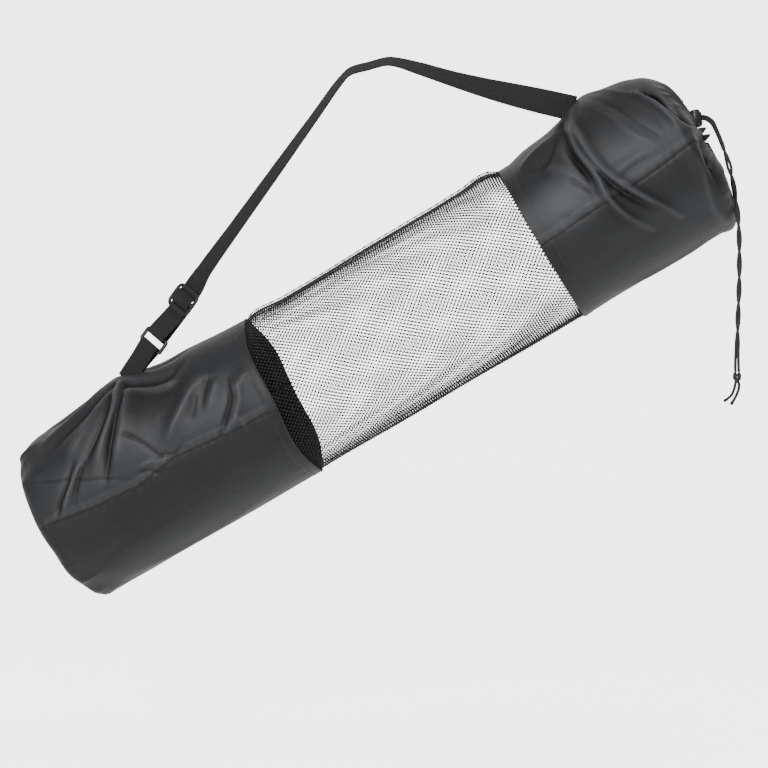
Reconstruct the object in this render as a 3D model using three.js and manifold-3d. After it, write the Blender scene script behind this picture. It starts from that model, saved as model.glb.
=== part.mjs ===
// A cylindrical yoga mat bag in the form it hangs in: closed base down to the left, drawstring
// mouth up to the right, held by the top of its shoulder strap. Millimetres, +Z up.
import * as THREE from 'three';
import { mergeVertices } from 'three/addons/utils/BufferGeometryUtils.js';
import Module from 'manifold-3d';

const wasm = await Module();
wasm.setup();

// Body of the bag, along its own axis from the base to the mouth
const bodyTilt = 30.6;
const tubeRadius = 75.5;
const lowerLength = 232;
const netLength = 265;
const upperLength = 168;
const clothWall = 1.5;
const netWall = 1.2;
const seamLap = 8;
const baseInset = 5.3;
const clearance = 0.3;

// Points around each fabric panel, so that pleats and creases keep their shape
const lowerColumns = 48;
const upperColumns = 72;

// Creases of the fabric: a fold row is a share of these two sizes
const foldDepth = 4;
const foldWidth = 11;
const foldEase = 14;

// Pleats and ruffles of the drawn mouth
const pleatCount = 18;
const pleatDepth = 2.2;
const channelWall = 2.8;
const channelReach = 4;
const channelTuck = 8;
const ruffleDepth = 1.4;

// Mesh window
const netStrand = 4.2;
const netPuff = 2.4;
const netColumns = 24;
const netRows = 10;

// Where the hand holds the strap, seen from the bag's axis
const gripAlong = 0.665;
const gripRise = 207.5;

// Shoulder strap, its ring and its slider
const webbingWidth = 22;
const webbingThickness = 1.4;
const seatGap = 2.7;
const anchorBend = 0.55;
const anchorWrap = 100;
const strapWrap = [-80, -280];
const wrapSteps = 8;
const gripSpan = 50;
const ringLength = 29;
const ringHeight = 15.5;
const ringBar = 3;
const ringPlace = 38;
const barReach = 0.62;
const sliderLength = 28;
const sliderHeight = 24;
const sliderBar = 3.5;
const sliderCentreBar = 4;
const sliderThickness = 2.4;
const sliderPlace = 83;
const slotEase = 0.5;
const strapRunOut = 1.5;
const strapTail = 1;
const mouldEdge = 0.5;
const mouldRound = 0.16;

// Cord lock and drawstring
const lockTilt = 8;
const lockAngle = 43;
const lockOut = 2.7;
const lockGap = 0.17;
const barrelRadius = 5.5;
const barrelTop = 5.2;
const barrelBottom = 7.5;
const barrelFloor = 1;
const boreShoulder = 0.7;
const stemShare = 0.72;
const buttonRadius = 3.9;
const buttonTravel = 2;
const buttonProud = 2.4;
const buttonSide = 0.6;
const buttonCrown = 0.8;
const lockSides = 16;
const cordSlotEase = 0.72;
const cordStackEase = 0.45;
const cordDiameter = 2.5;
const cordSides = 8;
const cordStep = 7;
const knotRadius = 3.4;
const knotLength = 8.5;
const knotSides = 10;
const weld = 1e-4;

// Sections of the lower fabric: share of its length, then shares of tubeRadius over, beside and under
const lowerSections = [
  { along: 0.015, up: 1.03, side: 1.012, down: 0.985 },
  { along: 0.047, up: 1.06, side: 1.02, down: 0.995 },
  { along: 0.12, up: 1.08, side: 1.03, down: 0.995 },
  { along: 0.2, up: 1.1, side: 1.033, down: 1 },
  { along: 0.32, up: 1.127, side: 1.037, down: 1 },
  { along: 0.42, up: 1.165, side: 1.04, down: 1 },
  { along: 0.487, up: 1.19, side: 1.042, down: 1.003 },
  { along: 0.578, up: 1.115, side: 1.042, down: 1.006 },
  { along: 0.65, up: 1.066, side: 1.04, down: 1.006 },
  { along: 0.76, up: 1.058, side: 1.035, down: 1.004 },
  { along: 0.88, up: 1.025, side: 1.022, down: 1.002 },
];
const anchorRow = 7;

// Sections of the upper fabric, with the share of pleatDepth that its drawn shoulder has
const upperSections = [
  { along: 0.15, up: 1, side: 1.03, down: 0.985 },
  { along: 0.32, up: 0.985, side: 1.05, down: 0.98 },
  { along: 0.4185, up: 1.05, side: 1.05, down: 0.98 },
  { along: 0.5327, up: 1.215, side: 1.048, down: 0.975 },
  { along: 0.66, up: 1.155, side: 1.045, down: 0.972 },
  { along: 0.8, up: 1.09, side: 1.045, down: 0.97 },
  { along: 0.892, up: 0.985, side: 1.025, down: 0.965, pleat: 0.15 },
  { along: 0.924, up: 0.875, side: 0.93, down: 0.87, pleat: 0.5 },
  { along: 0.95, up: 0.74, side: 0.72, down: 0.6, pleat: 1 },
  { along: 0.966, up: 0.62, side: 0.47, down: 0.28, pleat: 1 },
];
const strapEndRow = 4;

// Creases: start and end as share of the panel's length and degrees from the top towards the front,
// then height and width as shares of foldDepth and foldWidth. A negative height is a valley.
const lowerFolds = [
  { along: [0.483, 0.21], around: [31, 84], height: 1, width: 0.9 },
  { along: [0.435, 0.31], around: [33, 89], height: -0.9, width: 0.8 },
  { along: [0.42, 0.06], around: [6, 57], height: 0.6, width: 1.2 },
  { along: [0.4, 0.13], around: [27, 53], height: -0.5, width: 0.8 },
  { along: [0.54, 0.75], around: [22, 36], height: -1.1, width: 0.8 },
  { along: [0.905, 0.61], around: [61, 85], height: 0.8, width: 0.8 },
  { along: [0.9, 0.8], around: [63, 96], height: -0.6, width: 0.9 },
  { along: [0.1, 0.25], around: [86, 67], height: 0.7, width: 0.9 },
  { along: [0.15, 0.8], around: [150, 165], height: -0.5, width: 1.4 },
  { along: [0.47, 0.2], around: [334, 280], height: 1, width: 0.9 },
  { along: [0.43, 0.3], around: [326, 266], height: -0.9, width: 0.8 },
  { along: [0.56, 0.78], around: [338, 318], height: -0.9, width: 0.9 },
  { along: [0.9, 0.62], around: [296, 268], height: 0.7, width: 0.9 },
  { along: [0.1, 0.45], around: [252, 238], height: -0.6, width: 1.1 },
  { along: [0.55, 0.85], around: [212, 228], height: 0.5, width: 1.2 },
];
const upperFolds = [
  { along: [0.446, 0.42], around: [14, 60], height: 1.3, width: 0.9 },
  { along: [0.42, 0.66], around: [60, 124], height: 1.3, width: 0.8 },
  { along: [0.36, 0.38], around: [26, 84], height: -1.1, width: 0.9 },
  { along: [0.44, 0.53], around: [80, 124], height: 0.6, width: 0.7 },
  { along: [0.56, 0.84], around: [12, 75], height: 0.7, width: 1.1 },
  { along: [0.65, 0.8], around: [60, 84], height: -0.6, width: 0.9 },
  { along: [0.68, 0.87], around: [10, 38], height: -1.3, width: 0.8 },
  { along: [0.81, 0.93], around: [43, 76], height: -1.2, width: 0.9 },
  { along: [0.2, 0.75], around: [150, 170], height: -0.5, width: 1.3 },
  { along: [0.446, 0.42], around: [346, 300], height: 1.2, width: 0.9 },
  { along: [0.42, 0.62], around: [300, 240], height: 1.1, width: 0.8 },
  { along: [0.36, 0.38], around: [334, 280], height: -1, width: 0.9 },
  { along: [0.58, 0.84], around: [346, 286], height: 0.7, width: 1.1 },
  { along: [0.7, 0.86], around: [338, 312], height: -1.1, width: 0.8 },
];

// Bend of the strap over the hand: shares of gripSpan across and above the point that is held
const gripBend = [
  { across: -0.46, above: -0.166 },
  { across: -0.3, above: -0.02 },
  { across: 0.03, above: 0.07 },
  { across: 0.36, above: 0.145 },
  { across: 0.56, above: 0.12 },
];

// Turn of the webbing from facing the front: share of each leg, then degrees
const leftTurns = [
  { share: 0.36, turn: 42 },
  { share: 0.5, turn: 49 },
  { share: 0.7, turn: 54 },
  { share: 0.88, turn: 60 },
];
const hardwareTurn = 35;
const gripTurn = 63;
const rightLeg = [
  { share: 0.12, sag: 0.3, turn: 57 },
  { share: 0.3, sag: 1.6, turn: 50 },
  { share: 0.5, sag: 2.1, turn: 36 },
  { share: 0.68, sag: 1.6, turn: 20 },
  { share: 0.84, sag: 0.8, turn: 8 },
];

// Turned outlines: shares of barrelRadius and of barrelTop or barrelBottom, then of the knot's two sizes
const barrelOutline = [
  { out: 0, up: -1 },
  { out: 0.62, up: -1 },
  { out: 0.9, up: -0.76 },
  { out: 1, up: -0.25 },
  { out: 1, up: 0.4 },
  { out: 0.9, up: 1 },
  { out: 0, up: 1 },
];
const knotOutline = [
  { out: 0, up: -0.5 },
  { out: 0.62, up: -0.44 },
  { out: 0.95, up: -0.2 },
  { out: 0.9, up: 0.05 },
  { out: 1, up: 0.26 },
  { out: 0.7, up: 0.45 },
  { out: 0, up: 0.5 },
];

// Drawstring: chosen points from the centre of the lock, as right, back and up
const frontCord = [
  [-6.8, 0, 0.45], [0, 0, 1.4], [6.4, 0, 2.2], [13.4, -0.6, -0.8],
  [18.4, -2.4, -10.4], [23.4, -4.8, -23], [27.6, -7.6, -37], [31, -10.8, -50], [34, -14, -68],
  [36, -16.6, -83], [37.2, -17.6, -100], [37.6, -17.6, -118], [37.8, -17.2, -136], [37.6, -16.6, -153],
  [37.2, -15.9, -171], [37, -15.3, -189], [36.8, -15, -205], [37, -15.2, -213.2],
];
const backCord = [
  [-6.8, 0, -2.35], [0, 0, -1.4], [6.4, 0, -0.55], [12.4, 0.6, -4.2],
  [16.8, 0.6, -12], [21.6, -1.6, -24], [26, -4.6, -37], [29, -7.8, -50], [32, -11.4, -67],
  [34, -13.9, -83], [35, -14.8, -100], [35.4, -14.6, -118], [35.4, -14, -136], [35, -13.6, -153],
  [34.6, -13.6, -171], [34.2, -14, -189], [34, -14.6, -205], [34.2, -15, -213.2],
];
const knotPlace = [35.6, -15.1, -217.8];
const leftTail = [[34.4, -15.4, -222.3], [33.4, -15.8, -227], [31, -16.4, -232.6], [24.8, -17, -238]];
const rightTail = [[37.4, -14.7, -222.3], [37.2, -14.2, -227], [35.2, -14, -233], [30.8, -14, -241]];

const tubeLength = lowerLength + netLength + upperLength;
const lapRadius = tubeRadius - clothWall - clearance;
const radians = THREE.MathUtils.degToRad;
const front = new THREE.Vector3(0, -1, 0);

const bag = new THREE.Group();
const tube = new THREE.Group();
tube.rotation.y = -radians(bodyTilt);
const held = new THREE.Vector3(gripAlong * tubeLength, 0, gripRise);
tube.position.copy(held.clone().applyEuler(tube.rotation).negate());
bag.add(tube);
tube.updateMatrixWorld(true);

const fabric = new THREE.MeshStandardMaterial({ color: 0x424446, roughness: 0.55, metalness: 0 });
const meshCloth = new THREE.MeshStandardMaterial({ color: 0x1b1b1c, roughness: 0.7, metalness: 0 });
const webbing = new THREE.MeshStandardMaterial({ color: 0x29292a, roughness: 0.75, metalness: 0 });
const plastic = new THREE.MeshStandardMaterial({ color: 0x1e1f21, roughness: 0.38, metalness: 0 });
const cordFibre = new THREE.MeshStandardMaterial({ color: 0x232324, roughness: 0.8, metalness: 0 });

function addPiece(parent, name, geometry, material) {
  const piece = new THREE.Mesh(geometry, material);
  piece.name = name;
  parent.add(piece);
  return piece;
}

// A closed surface from points and triangles, turned to face outwards
function closedSurface(points, triangles) {
  const [a, b, c, turned] = [0, 1, 2, 3].map(() => new THREE.Vector3());
  let volume = 0;
  for (const [i, j, k] of triangles) {
    a.copy(points[i]);
    b.copy(points[j]);
    c.copy(points[k]);
    volume += a.dot(turned.crossVectors(b, c));
  }
  const order = volume > 0 ? triangles : triangles.map(([i, j, k]) => [i, k, j]);
  const geometry = new THREE.BufferGeometry();
  const numbers = order.flatMap((triangle) => triangle.flatMap((i) => points[i].toArray()));
  geometry.setAttribute('position', new THREE.Float32BufferAttribute(numbers, 3));
  geometry.computeVertexNormals();
  return geometry;
}

// Skin through a row of rings: joined back to the first ring, or capped at both ends
function loft(rings, joined) {
  const around = rings[0].length;
  const points = rings.flat();
  const triangles = [];
  const spans = joined ? rings.length : rings.length - 1;
  for (let i = 0; i < spans; i += 1) {
    const here = i * around;
    const next = ((i + 1) % rings.length) * around;
    for (let k = 0; k < around; k += 1) {
      const l = (k + 1) % around;
      triangles.push([here + k, here + l, next + l], [here + k, next + l, next + k]);
    }
  }
  if (!joined) {
    const last = (rings.length - 1) * around;
    for (let k = 1; k < around - 1; k += 1) {
      triangles.push([0, k + 1, k], [last, last + k, last + k + 1]);
    }
  }
  return closedSurface(points, triangles);
}

// A point on the bag at a distance along its axis, an angle from the top and a radius
function aroundAxis(x, angle, radius) {
  return new THREE.Vector3(x, -radius * Math.sin(angle), radius * Math.cos(angle));
}

// Height of all creases at a place on a panel
function creaseHeight(panel, along, angle) {
  let height = 0;
  for (const fold of panel.folds) {
    const start = new THREE.Vector2(fold.along[0] * panel.length, 0);
    const turn = radians(fold.around[1] - fold.around[0]);
    const end = new THREE.Vector2(fold.along[1] * panel.length, turn * tubeRadius);
    const away = angle - radians(fold.around[0]);
    const wrapped = Math.atan2(Math.sin(away), Math.cos(away));
    const place = new THREE.Vector2(along * panel.length, wrapped * tubeRadius).sub(start);
    const run = end.sub(start);
    const share = THREE.MathUtils.clamp(place.dot(run) / run.lengthSq(), 0, 1);
    const distance = place.distanceTo(run.multiplyScalar(share));
    height += fold.height * foldDepth * Math.exp(-((distance / (fold.width * foldWidth)) ** 2));
  }
  return height;
}

// The outer surface of a fabric panel at one of its sections
function skin(panel, row, angle) {
  const { along, up, side, down, pleat = 0 } = panel.sections[row];
  const cosine = Math.cos(angle);
  const end = cosine > 0 ? up : down;
  const ends = Math.min(along, 1 - along) * panel.length;
  const ease = THREE.MathUtils.smoothstep(ends, 0, foldEase);
  const radius = tubeRadius * (side + (end - side) * cosine ** 2)
    + ease * (1 - pleat) * creaseHeight(panel, along, angle);
  const x = panel.start + panel.length * along + pleat * pleatDepth * Math.cos(pleatCount * angle);
  return new THREE.Vector2(x, radius);
}

// Outer and inner rings of a panel. Its ends are cut square to the cloth: across the axis at a hem,
// or along the axis at the drawn mouth.
function panelRings(panel) {
  const outer = [];
  const inner = [];
  const last = panel.sections.length - 1;
  panel.sections.forEach((section, row) => {
    const outside = [];
    const inside = [];
    for (let k = 0; k < panel.columns; k += 1) {
      const angle = (k * 2 * Math.PI) / panel.columns;
      const here = skin(panel, row, angle);
      const before = skin(panel, Math.max(row - 1, 0), angle);
      const run = skin(panel, Math.min(row + 1, last), angle).sub(before);
      if (row === 0 || (row === last && !panel.drawn)) run.set(1, 0);
      if (row === last && panel.drawn) run.set(0, -1);
      run.normalize().multiplyScalar(clothWall);
      outside.push(aroundAxis(here.x, angle, here.y));
      inside.push(aroundAxis(here.x + run.y, angle, here.y - run.x));
    }
    outer.push(outside);
    inner.push(inside);
  });
  return [...outer, ...inner.reverse()];
}

const baseRadius = tubeRadius - baseInset;
const lip = (baseRadius + clearance + clothWall) / tubeRadius;
const lowerPanel = {
  start: 0,
  length: lowerLength,
  columns: lowerColumns,
  folds: lowerFolds,
  sections: [
    { along: 0, up: lip, side: lip, down: lip },
    ...lowerSections,
    { along: 1 - seamLap / lowerLength, up: 1, side: 1, down: 1 },
    { along: 1, up: 1, side: 1, down: 1 },
  ],
};
const upperPanel = {
  start: lowerLength + netLength,
  length: upperLength,
  columns: upperColumns,
  folds: upperFolds,
  drawn: true,
  sections: [
    { along: 0, up: 1, side: 1, down: 1 },
    { along: seamLap / upperLength, up: 1, side: 1, down: 1 },
    ...upperSections,
  ],
};

// Round fabric base, flush with the lip of the lower panel
const baseDisc = new THREE.CylinderGeometry(baseRadius, baseRadius, clothWall, lowerPanel.columns);
baseDisc.rotateZ(Math.PI / 2);
baseDisc.translate(clothWall / 2, 0, 0);
addPiece(tube, 'base_panel', baseDisc, fabric);
addPiece(tube, 'lower_panel', loft(panelRings(lowerPanel), true), fabric);
addPiece(tube, 'upper_panel', loft(panelRings(upperPanel), true), fabric);

// Mesh window: a lattice of four-sided gaps between two bands that reach under the fabric hems
function netPoint(row, column, depth) {
  const angle = (column * 2 * Math.PI) / netColumns;
  const rise = row === 1 || row === netRows - 1 ? netPuff * Math.max(Math.cos(angle), 0) ** 2 : 0;
  const x = lowerLength + (netLength * THREE.MathUtils.clamp(row, 0, netRows)) / netRows;
  const lap = seamLap * (row < 0 ? -1 : Number(row > netRows));
  return aroundAxis(x + lap, angle, lapRadius + rise - depth);
}

function netLattice() {
  const points = [];
  const triangles = [];
  const known = new Map();
  const pointAt = (row, column, depth) => {
    const key = `${row} ${(column + netColumns) % netColumns} ${depth}`;
    if (!known.has(key)) {
      known.set(key, points.length);
      points.push(netPoint(row, column, depth));
    }
    return known.get(key);
  };
  const face = (a, b, c, flip) => triangles.push(flip ? [a, c, b] : [a, b, c]);
  const halfAcross = (Math.PI * lapRadius) / (netColumns / 2);
  const halfAlong = netLength / netRows;
  const inset = netStrand / 2 / ((halfAcross * halfAlong) / Math.hypot(halfAcross, halfAlong));
  for (let column = 0; column < netColumns; column += 1) {
    for (const [row, next] of [[-1, 0], [netRows, netRows + 1]]) {
      const corners = [[row, column], [row, column + 1], [next, column + 1], [next, column]];
      for (const depth of [0, netWall]) {
        const [a, b, c, d] = corners.map(([i, k]) => pointAt(i, k, depth));
        face(a, b, c, depth > 0);
        face(a, c, d, depth > 0);
      }
      const rim = row < 0 ? row : next;
      const [a, b] = [pointAt(rim, column, 0), pointAt(rim, column + 1, 0)];
      const [c, d] = [pointAt(rim, column + 1, netWall), pointAt(rim, column, netWall)];
      face(a, b, c, row < 0);
      face(a, c, d, row < 0);
    }
  }
  for (let row = 0; row <= netRows; row += 1) {
    for (let column = (row + 1) % 2; column < netColumns; column += 2) {
      const around = [[row, column - 1], [row - 1, column], [row, column + 1], [row + 1, column]];
      if (row === 0 || row === netRows) {
        const tip = row === 0 ? around[3] : around[1];
        for (const depth of [0, netWall]) {
          const [left, middle, right, end] = [around[0], [row, column], around[2], tip]
            .map(([i, k]) => pointAt(i, k, depth));
          const flip = (depth > 0) !== (row === netRows);
          face(left, middle, end, flip);
          face(middle, right, end, flip);
        }
        continue;
      }
      const gaps = [];
      for (const depth of [0, netWall]) {
        const corner = around.map(([i, k]) => pointAt(i, k, depth));
        const centre = new THREE.Vector3();
        corner.forEach((i) => centre.addScaledVector(points[i], 1 / corner.length));
        const gap = corner.map((i) => points.push(points[i].clone().lerp(centre, inset)) - 1);
        corner.forEach((here, k) => {
          const l = (k + 1) % corner.length;
          face(here, corner[l], gap[l], depth > 0);
          face(here, gap[l], gap[k], depth > 0);
        });
        gaps.push(gap);
      }
      const [near, far] = gaps;
      near.forEach((here, k) => {
        const l = (k + 1) % near.length;
        face(here, near[l], far[l], false);
        face(here, far[l], far[k], false);
      });
    }
  }
  return closedSurface(points, triangles);
}
addPiece(tube, 'net_panel', netLattice(), meshCloth);

// Drawstring channel: a ruffled tube of cloth just inside the drawn edge of the upper panel
function channelRings() {
  const rings = [];
  for (let k = 0; k < upperPanel.columns; k += 1) {
    const angle = (k * 2 * Math.PI) / upperPanel.columns;
    const edge = skin(upperPanel, upperPanel.sections.length - 1, angle);
    const ruffle = ruffleDepth * Math.cos(pleatCount * angle);
    const outer = edge.y - clearance;
    const inner = outer - channelWall;
    const root = edge.x - channelTuck;
    const tip = edge.x + channelReach + ruffle;
    const flare = ruffle - ruffleDepth;
    rings.push([
      aroundAxis(root, angle, outer),
      aroundAxis(tip, angle, outer + flare),
      aroundAxis(tip, angle, inner + flare),
      aroundAxis(root, angle, inner),
    ]);
  }
  return rings;
}
addPiece(tube, 'drawstring_channel', loft(channelRings(), true), fabric);

// Flat webbing through stations that each hold a point and the way across the webbing there
function webbingStrip(stations) {
  const last = stations.length - 1;
  const rings = stations.map(({ point, across }, i) => {
    const behind = point.clone().sub(stations[Math.max(i - 1, 0)].point).normalize();
    const ahead = stations[Math.min(i + 1, last)].point.clone().sub(point).normalize();
    const run = behind.clone().add(ahead).normalize();
    const bend = i === 0 || i === last ? 1 : 1 / run.dot(ahead);
    const face = run.clone().cross(across);
    const half = across.clone().multiplyScalar(webbingWidth / 2 / face.length());
    const lift = face.normalize().multiplyScalar((webbingThickness / 2) * bend);
    const side = point.clone().add(half);
    const other = point.clone().sub(half);
    return [side.clone().add(lift), side.sub(lift), other.clone().sub(lift), other.add(lift)];
  });
  return loft(rings, false);
}

// Axes of webbing that runs along a direction, turned by an angle from facing the front
function webbingAxes(along, turn) {
  const above = front.clone().cross(along).normalize();
  const level = along.clone().cross(above);
  const angle = radians(turn);
  const across = above.clone().multiplyScalar(-Math.cos(angle)).addScaledVector(level, Math.sin(angle));
  return { along, across, face: across.clone().cross(along) };
}

function seatPoint(panel, row, column) {
  const angle = (column * 2 * Math.PI) / panel.columns;
  const place = skin(panel, row, angle);
  return aroundAxis(place.x, angle, place.y).applyMatrix4(tube.matrixWorld);
}

const heldPoints = gripBend.map(({ across, above }) => (
  new THREE.Vector3(across * gripSpan, 0, above * gripSpan)));

// Anchor tab: a loop of webbing sewn to the lower panel and carried round the ring's lower bar
const anchorEnds = [seatPoint(lowerPanel, anchorRow, 1), seatPoint(lowerPanel, anchorRow + 1, 2)];
const anchorBase = anchorEnds[0].clone().lerp(anchorEnds[1], 0.5);
const legRun = heldPoints[0].clone().sub(anchorBase);
const legLength = legRun.length();
const leg = webbingAxes(legRun.normalize(), hardwareTurn);
const layer = webbingThickness + clearance;
function legPoint(distance, lift) {
  return anchorBase.clone().addScaledVector(leg.along, distance).addScaledVector(leg.face, lift);
}
const barWrap = ringBar * barReach + clearance + webbingThickness / 2;
function wrapStations(centre, from, to) {
  const stations = [];
  for (let i = 0; i <= wrapSteps; i += 1) {
    const angle = radians(from + ((to - from) * i) / wrapSteps);
    const point = legPoint(centre + barWrap * Math.cos(angle), barWrap * Math.sin(angle));
    stations.push({ point, across: leg.across });
  }
  return stations;
}
const barOffset = (ringHeight - ringBar) / 2;
const lowerBar = ringPlace - barOffset;
const upperBar = ringPlace + barOffset;
const anchorAcross = anchorEnds[0].clone().sub(anchorEnds[1]).normalize();
if (anchorAcross.dot(leg.across) < 0) anchorAcross.negate();
const anchorRun = leg.along.clone().cross(anchorAcross).normalize();
const anchorSeat = (lift) => ({
  point: legPoint(seatGap, 0).addScaledVector(anchorRun, -lift),
  across: anchorAcross,
});
const anchorMiddle = (lift) => ({ point: legPoint(lowerBar * anchorBend, lift), across: leg.across });
addPiece(bag, 'strap_anchor', webbingStrip([
  anchorSeat(-layer / 2),
  anchorMiddle(-layer / 2),
  ...wrapStations(lowerBar, -anchorWrap, anchorWrap),
  anchorMiddle(layer / 2),
  anchorSeat(layer / 2),
]), webbing);

// Moulded ring and slider lie in the plane of the webbing
function mouldedPlate(length, height, thickness, slots) {
  const round = Math.min(length, height) * mouldRound;
  const outline = new THREE.Shape();
  const [x, y] = [length / 2, height / 2];
  outline.moveTo(-x + round, -y);
  outline.lineTo(x - round, -y);
  outline.quadraticCurveTo(x, -y, x, -y + round);
  outline.lineTo(x, y - round);
  outline.quadraticCurveTo(x, y, x - round, y);
  outline.lineTo(-x + round, y);
  outline.quadraticCurveTo(-x, y, -x, y - round);
  outline.lineTo(-x, -y + round);
  outline.quadraticCurveTo(-x, -y, -x + round, -y);
  for (const { bottom, top, half } of slots) {
    const hole = new THREE.Path();
    hole.moveTo(-half, bottom);
    hole.lineTo(-half, top);
    hole.lineTo(half, top);
    hole.lineTo(half, bottom);
    hole.closePath();
    outline.holes.push(hole);
  }
  const plate = new THREE.ExtrudeGeometry(outline, {
    depth: thickness - 2 * mouldEdge,
    bevelThickness: mouldEdge,
    bevelSize: mouldEdge,
    bevelOffset: -mouldEdge,
    bevelSegments: 1,
    curveSegments: 3,
  });
  return plate.translate(0, 0, mouldEdge - thickness / 2);
}

function placeOnLeg(piece, distance) {
  const turned = new THREE.Matrix4().makeBasis(leg.across, leg.along, leg.face);
  piece.position.copy(legPoint(distance, 0));
  piece.quaternion.setFromRotationMatrix(turned);
}
const ringInside = ringHeight / 2 - ringBar;
const ringHole = { bottom: -ringInside, top: ringInside, half: ringLength / 2 - ringBar };
const ring = mouldedPlate(ringLength, ringHeight, ringBar, [ringHole]);
placeOnLeg(addPiece(bag, 'strap_ring', ring, plastic), ringPlace);
const slotHalf = webbingWidth / 2 + clearance * 2;
const slotTop = sliderHeight / 2 - sliderBar;
const sliderSlots = [
  { bottom: sliderCentreBar / 2, top: slotTop, half: slotHalf },
  { bottom: -slotTop, top: -sliderCentreBar / 2, half: slotHalf },
];
const slider = mouldedPlate(sliderLength, sliderHeight, sliderThickness, sliderSlots);
placeOnLeg(addPiece(bag, 'strap_slider', slider, plastic), sliderPlace);

// Shoulder strap: from its end behind the slider's centre bar, down and round the ring, up through the
// slider, over the hand and down to the upper panel
const strapEnds = [strapEndRow, strapEndRow + 1].map((row) => seatPoint(upperPanel, row, 0));
const strapSeat = strapEnds[0].clone().lerp(strapEnds[1], 0.5);
const strapEndAcross = strapEnds[0].clone().sub(strapEnds[1]).normalize();
const awayFromBag = strapEndAcross.clone().cross(front).normalize();
if (awayFromBag.z < 0) awayFromBag.negate();
strapSeat.addScaledVector(awayFromBag, clearance);
const behindBar = sliderThickness / 2 + clearance + webbingThickness / 2;
const sliderStations = [
  [-sliderHeight / 2 - strapTail, -behindBar],
  [-slotTop + slotEase, -behindBar],
  [-sliderCentreBar / 2 - slotEase, behindBar],
  [sliderCentreBar / 2 + slotEase, behindBar],
  [slotTop - slotEase, -behindBar],
  [sliderHeight / 2 + strapRunOut, -behindBar],
].map(([offset, lift]) => ({ point: legPoint(sliderPlace + offset, lift), across: leg.across }));
const returnStations = [
  [sliderCentreBar / 2, -behindBar],
  [-sliderCentreBar / 2 - slotEase, -behindBar],
  [-slotTop, -behindBar - layer],
  [-sliderHeight / 2 - strapTail, -behindBar - layer],
].map(([offset, lift]) => ({ point: legPoint(sliderPlace + offset, lift), across: leg.across }));
const leftLeg = leftTurns.map(({ share, turn }) => {
  const { across } = webbingAxes(leg.along, turn);
  return { point: legPoint(legLength * share, 0), across };
});
const gripStations = heldPoints.map((point, i) => {
  const ahead = heldPoints[Math.min(i + 1, heldPoints.length - 1)];
  const run = i === 0 ? leg.along : ahead.clone().sub(heldPoints[i - 1]).normalize();
  return { point, across: webbingAxes(run, gripTurn).across };
});
const rightStart = heldPoints[heldPoints.length - 1];
const rightRun = strapSeat.clone().sub(rightStart).normalize();
const rightStations = rightLeg.map(({ share, sag, turn }) => {
  const point = rightStart.clone().lerp(strapSeat, share);
  point.z -= sag;
  return { point, across: webbingAxes(rightRun, turn).across };
});
if (strapEndAcross.dot(rightStations[0].across) < 0) strapEndAcross.negate();
addPiece(bag, 'shoulder_strap', webbingStrip([
  ...returnStations,
  ...wrapStations(upperBar, ...strapWrap),
  ...sliderStations,
  ...leftLeg,
  ...gripStations,
  ...rightStations,
  { point: strapSeat, across: strapEndAcross },
]), webbing);

// Booleans between closed meshes
function toManifold(geometry) {
  const plain = geometry.clone();
  for (const name of ['normal', 'uv']) plain.deleteAttribute(name);
  const merged = mergeVertices(plain, weld);
  return new wasm.Manifold(new wasm.Mesh({
    numProp: 3,
    vertProperties: new Float32Array(merged.attributes.position.array),
    triVerts: new Uint32Array(merged.index.array),
  }));
}

function toGeometry(manifold) {
  const { vertProperties, triVerts } = manifold.getMesh();
  const geometry = new THREE.BufferGeometry();
  geometry.setAttribute('position', new THREE.Float32BufferAttribute(vertProperties, 3));
  geometry.setIndex(Array.from(triVerts));
  const flat = geometry.toNonIndexed();
  flat.computeVertexNormals();
  return flat;
}

// Cord lock: a barrel with a sprung button, and one slot across both for the two strands
const lock = new THREE.Group();
lock.rotation.y = -radians(lockTilt);
const mouthRow = upperPanel.sections.length - 1;
const mouthRadius = skin(upperPanel, mouthRow, radians(lockAngle)).y;
const lockInset = clearance + channelWall + 2 * ruffleDepth + barrelRadius + lockGap;
const mouthAlong = upperPanel.start + upperPanel.length * upperPanel.sections[mouthRow].along;
lock.position.copy(aroundAxis(mouthAlong + lockOut, radians(lockAngle), mouthRadius - lockInset));
lock.position.applyMatrix4(tube.matrixWorld);
bag.add(lock);

function turnedSolid(profile) {
  const shape = new THREE.LatheGeometry(profile.map(([r, z]) => new THREE.Vector2(r, z)), lockSides);
  return toManifold(shape.rotateX(Math.PI / 2));
}
function crossSlot(bottom, top) {
  const width = cordDiameter + cordSlotEase;
  return toManifold(new THREE.BoxGeometry(3 * barrelRadius, width, top - bottom)
    .translate(0, 0, (top + bottom) / 2));
}
const cordStack = cordDiameter + cordStackEase;
const barrelSides = turnedSolid(barrelOutline.map(({ out, up }) => (
  [out * barrelRadius, up * (up < 0 ? barrelBottom : barrelTop)])));
const boreRadius = buttonRadius + clearance;
const boreBottom = barrelFloor - barrelBottom;
const bore = turnedSolid([
  [0, boreBottom],
  [boreRadius * stemShare, boreBottom],
  [boreRadius, boreBottom * boreShoulder],
  [boreRadius, barrelTop + barrelRadius],
  [0, barrelTop + barrelRadius],
]);
const barrel = barrelSides.subtract(bore).subtract(crossSlot(-cordStack, cordStack));
addPiece(lock, 'lock_barrel', toGeometry(barrel), plastic);
const stemRadius = boreRadius * stemShare - clearance;
const buttonLift = clearance + buttonTravel;
const buttonBottom = boreBottom + buttonLift;
const buttonSolid = turnedSolid([
  [0, buttonBottom],
  [stemRadius, buttonBottom],
  [buttonRadius, boreBottom * boreShoulder + buttonLift],
  [buttonRadius, barrelTop + buttonProud * buttonSide],
  [buttonRadius * buttonCrown, barrelTop + buttonProud],
  [0, barrelTop + buttonProud],
]);
const button = buttonSolid.subtract(crossSlot(-cordStack, cordStack + buttonTravel));
addPiece(lock, 'lock_button', toGeometry(button), plastic);

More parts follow.
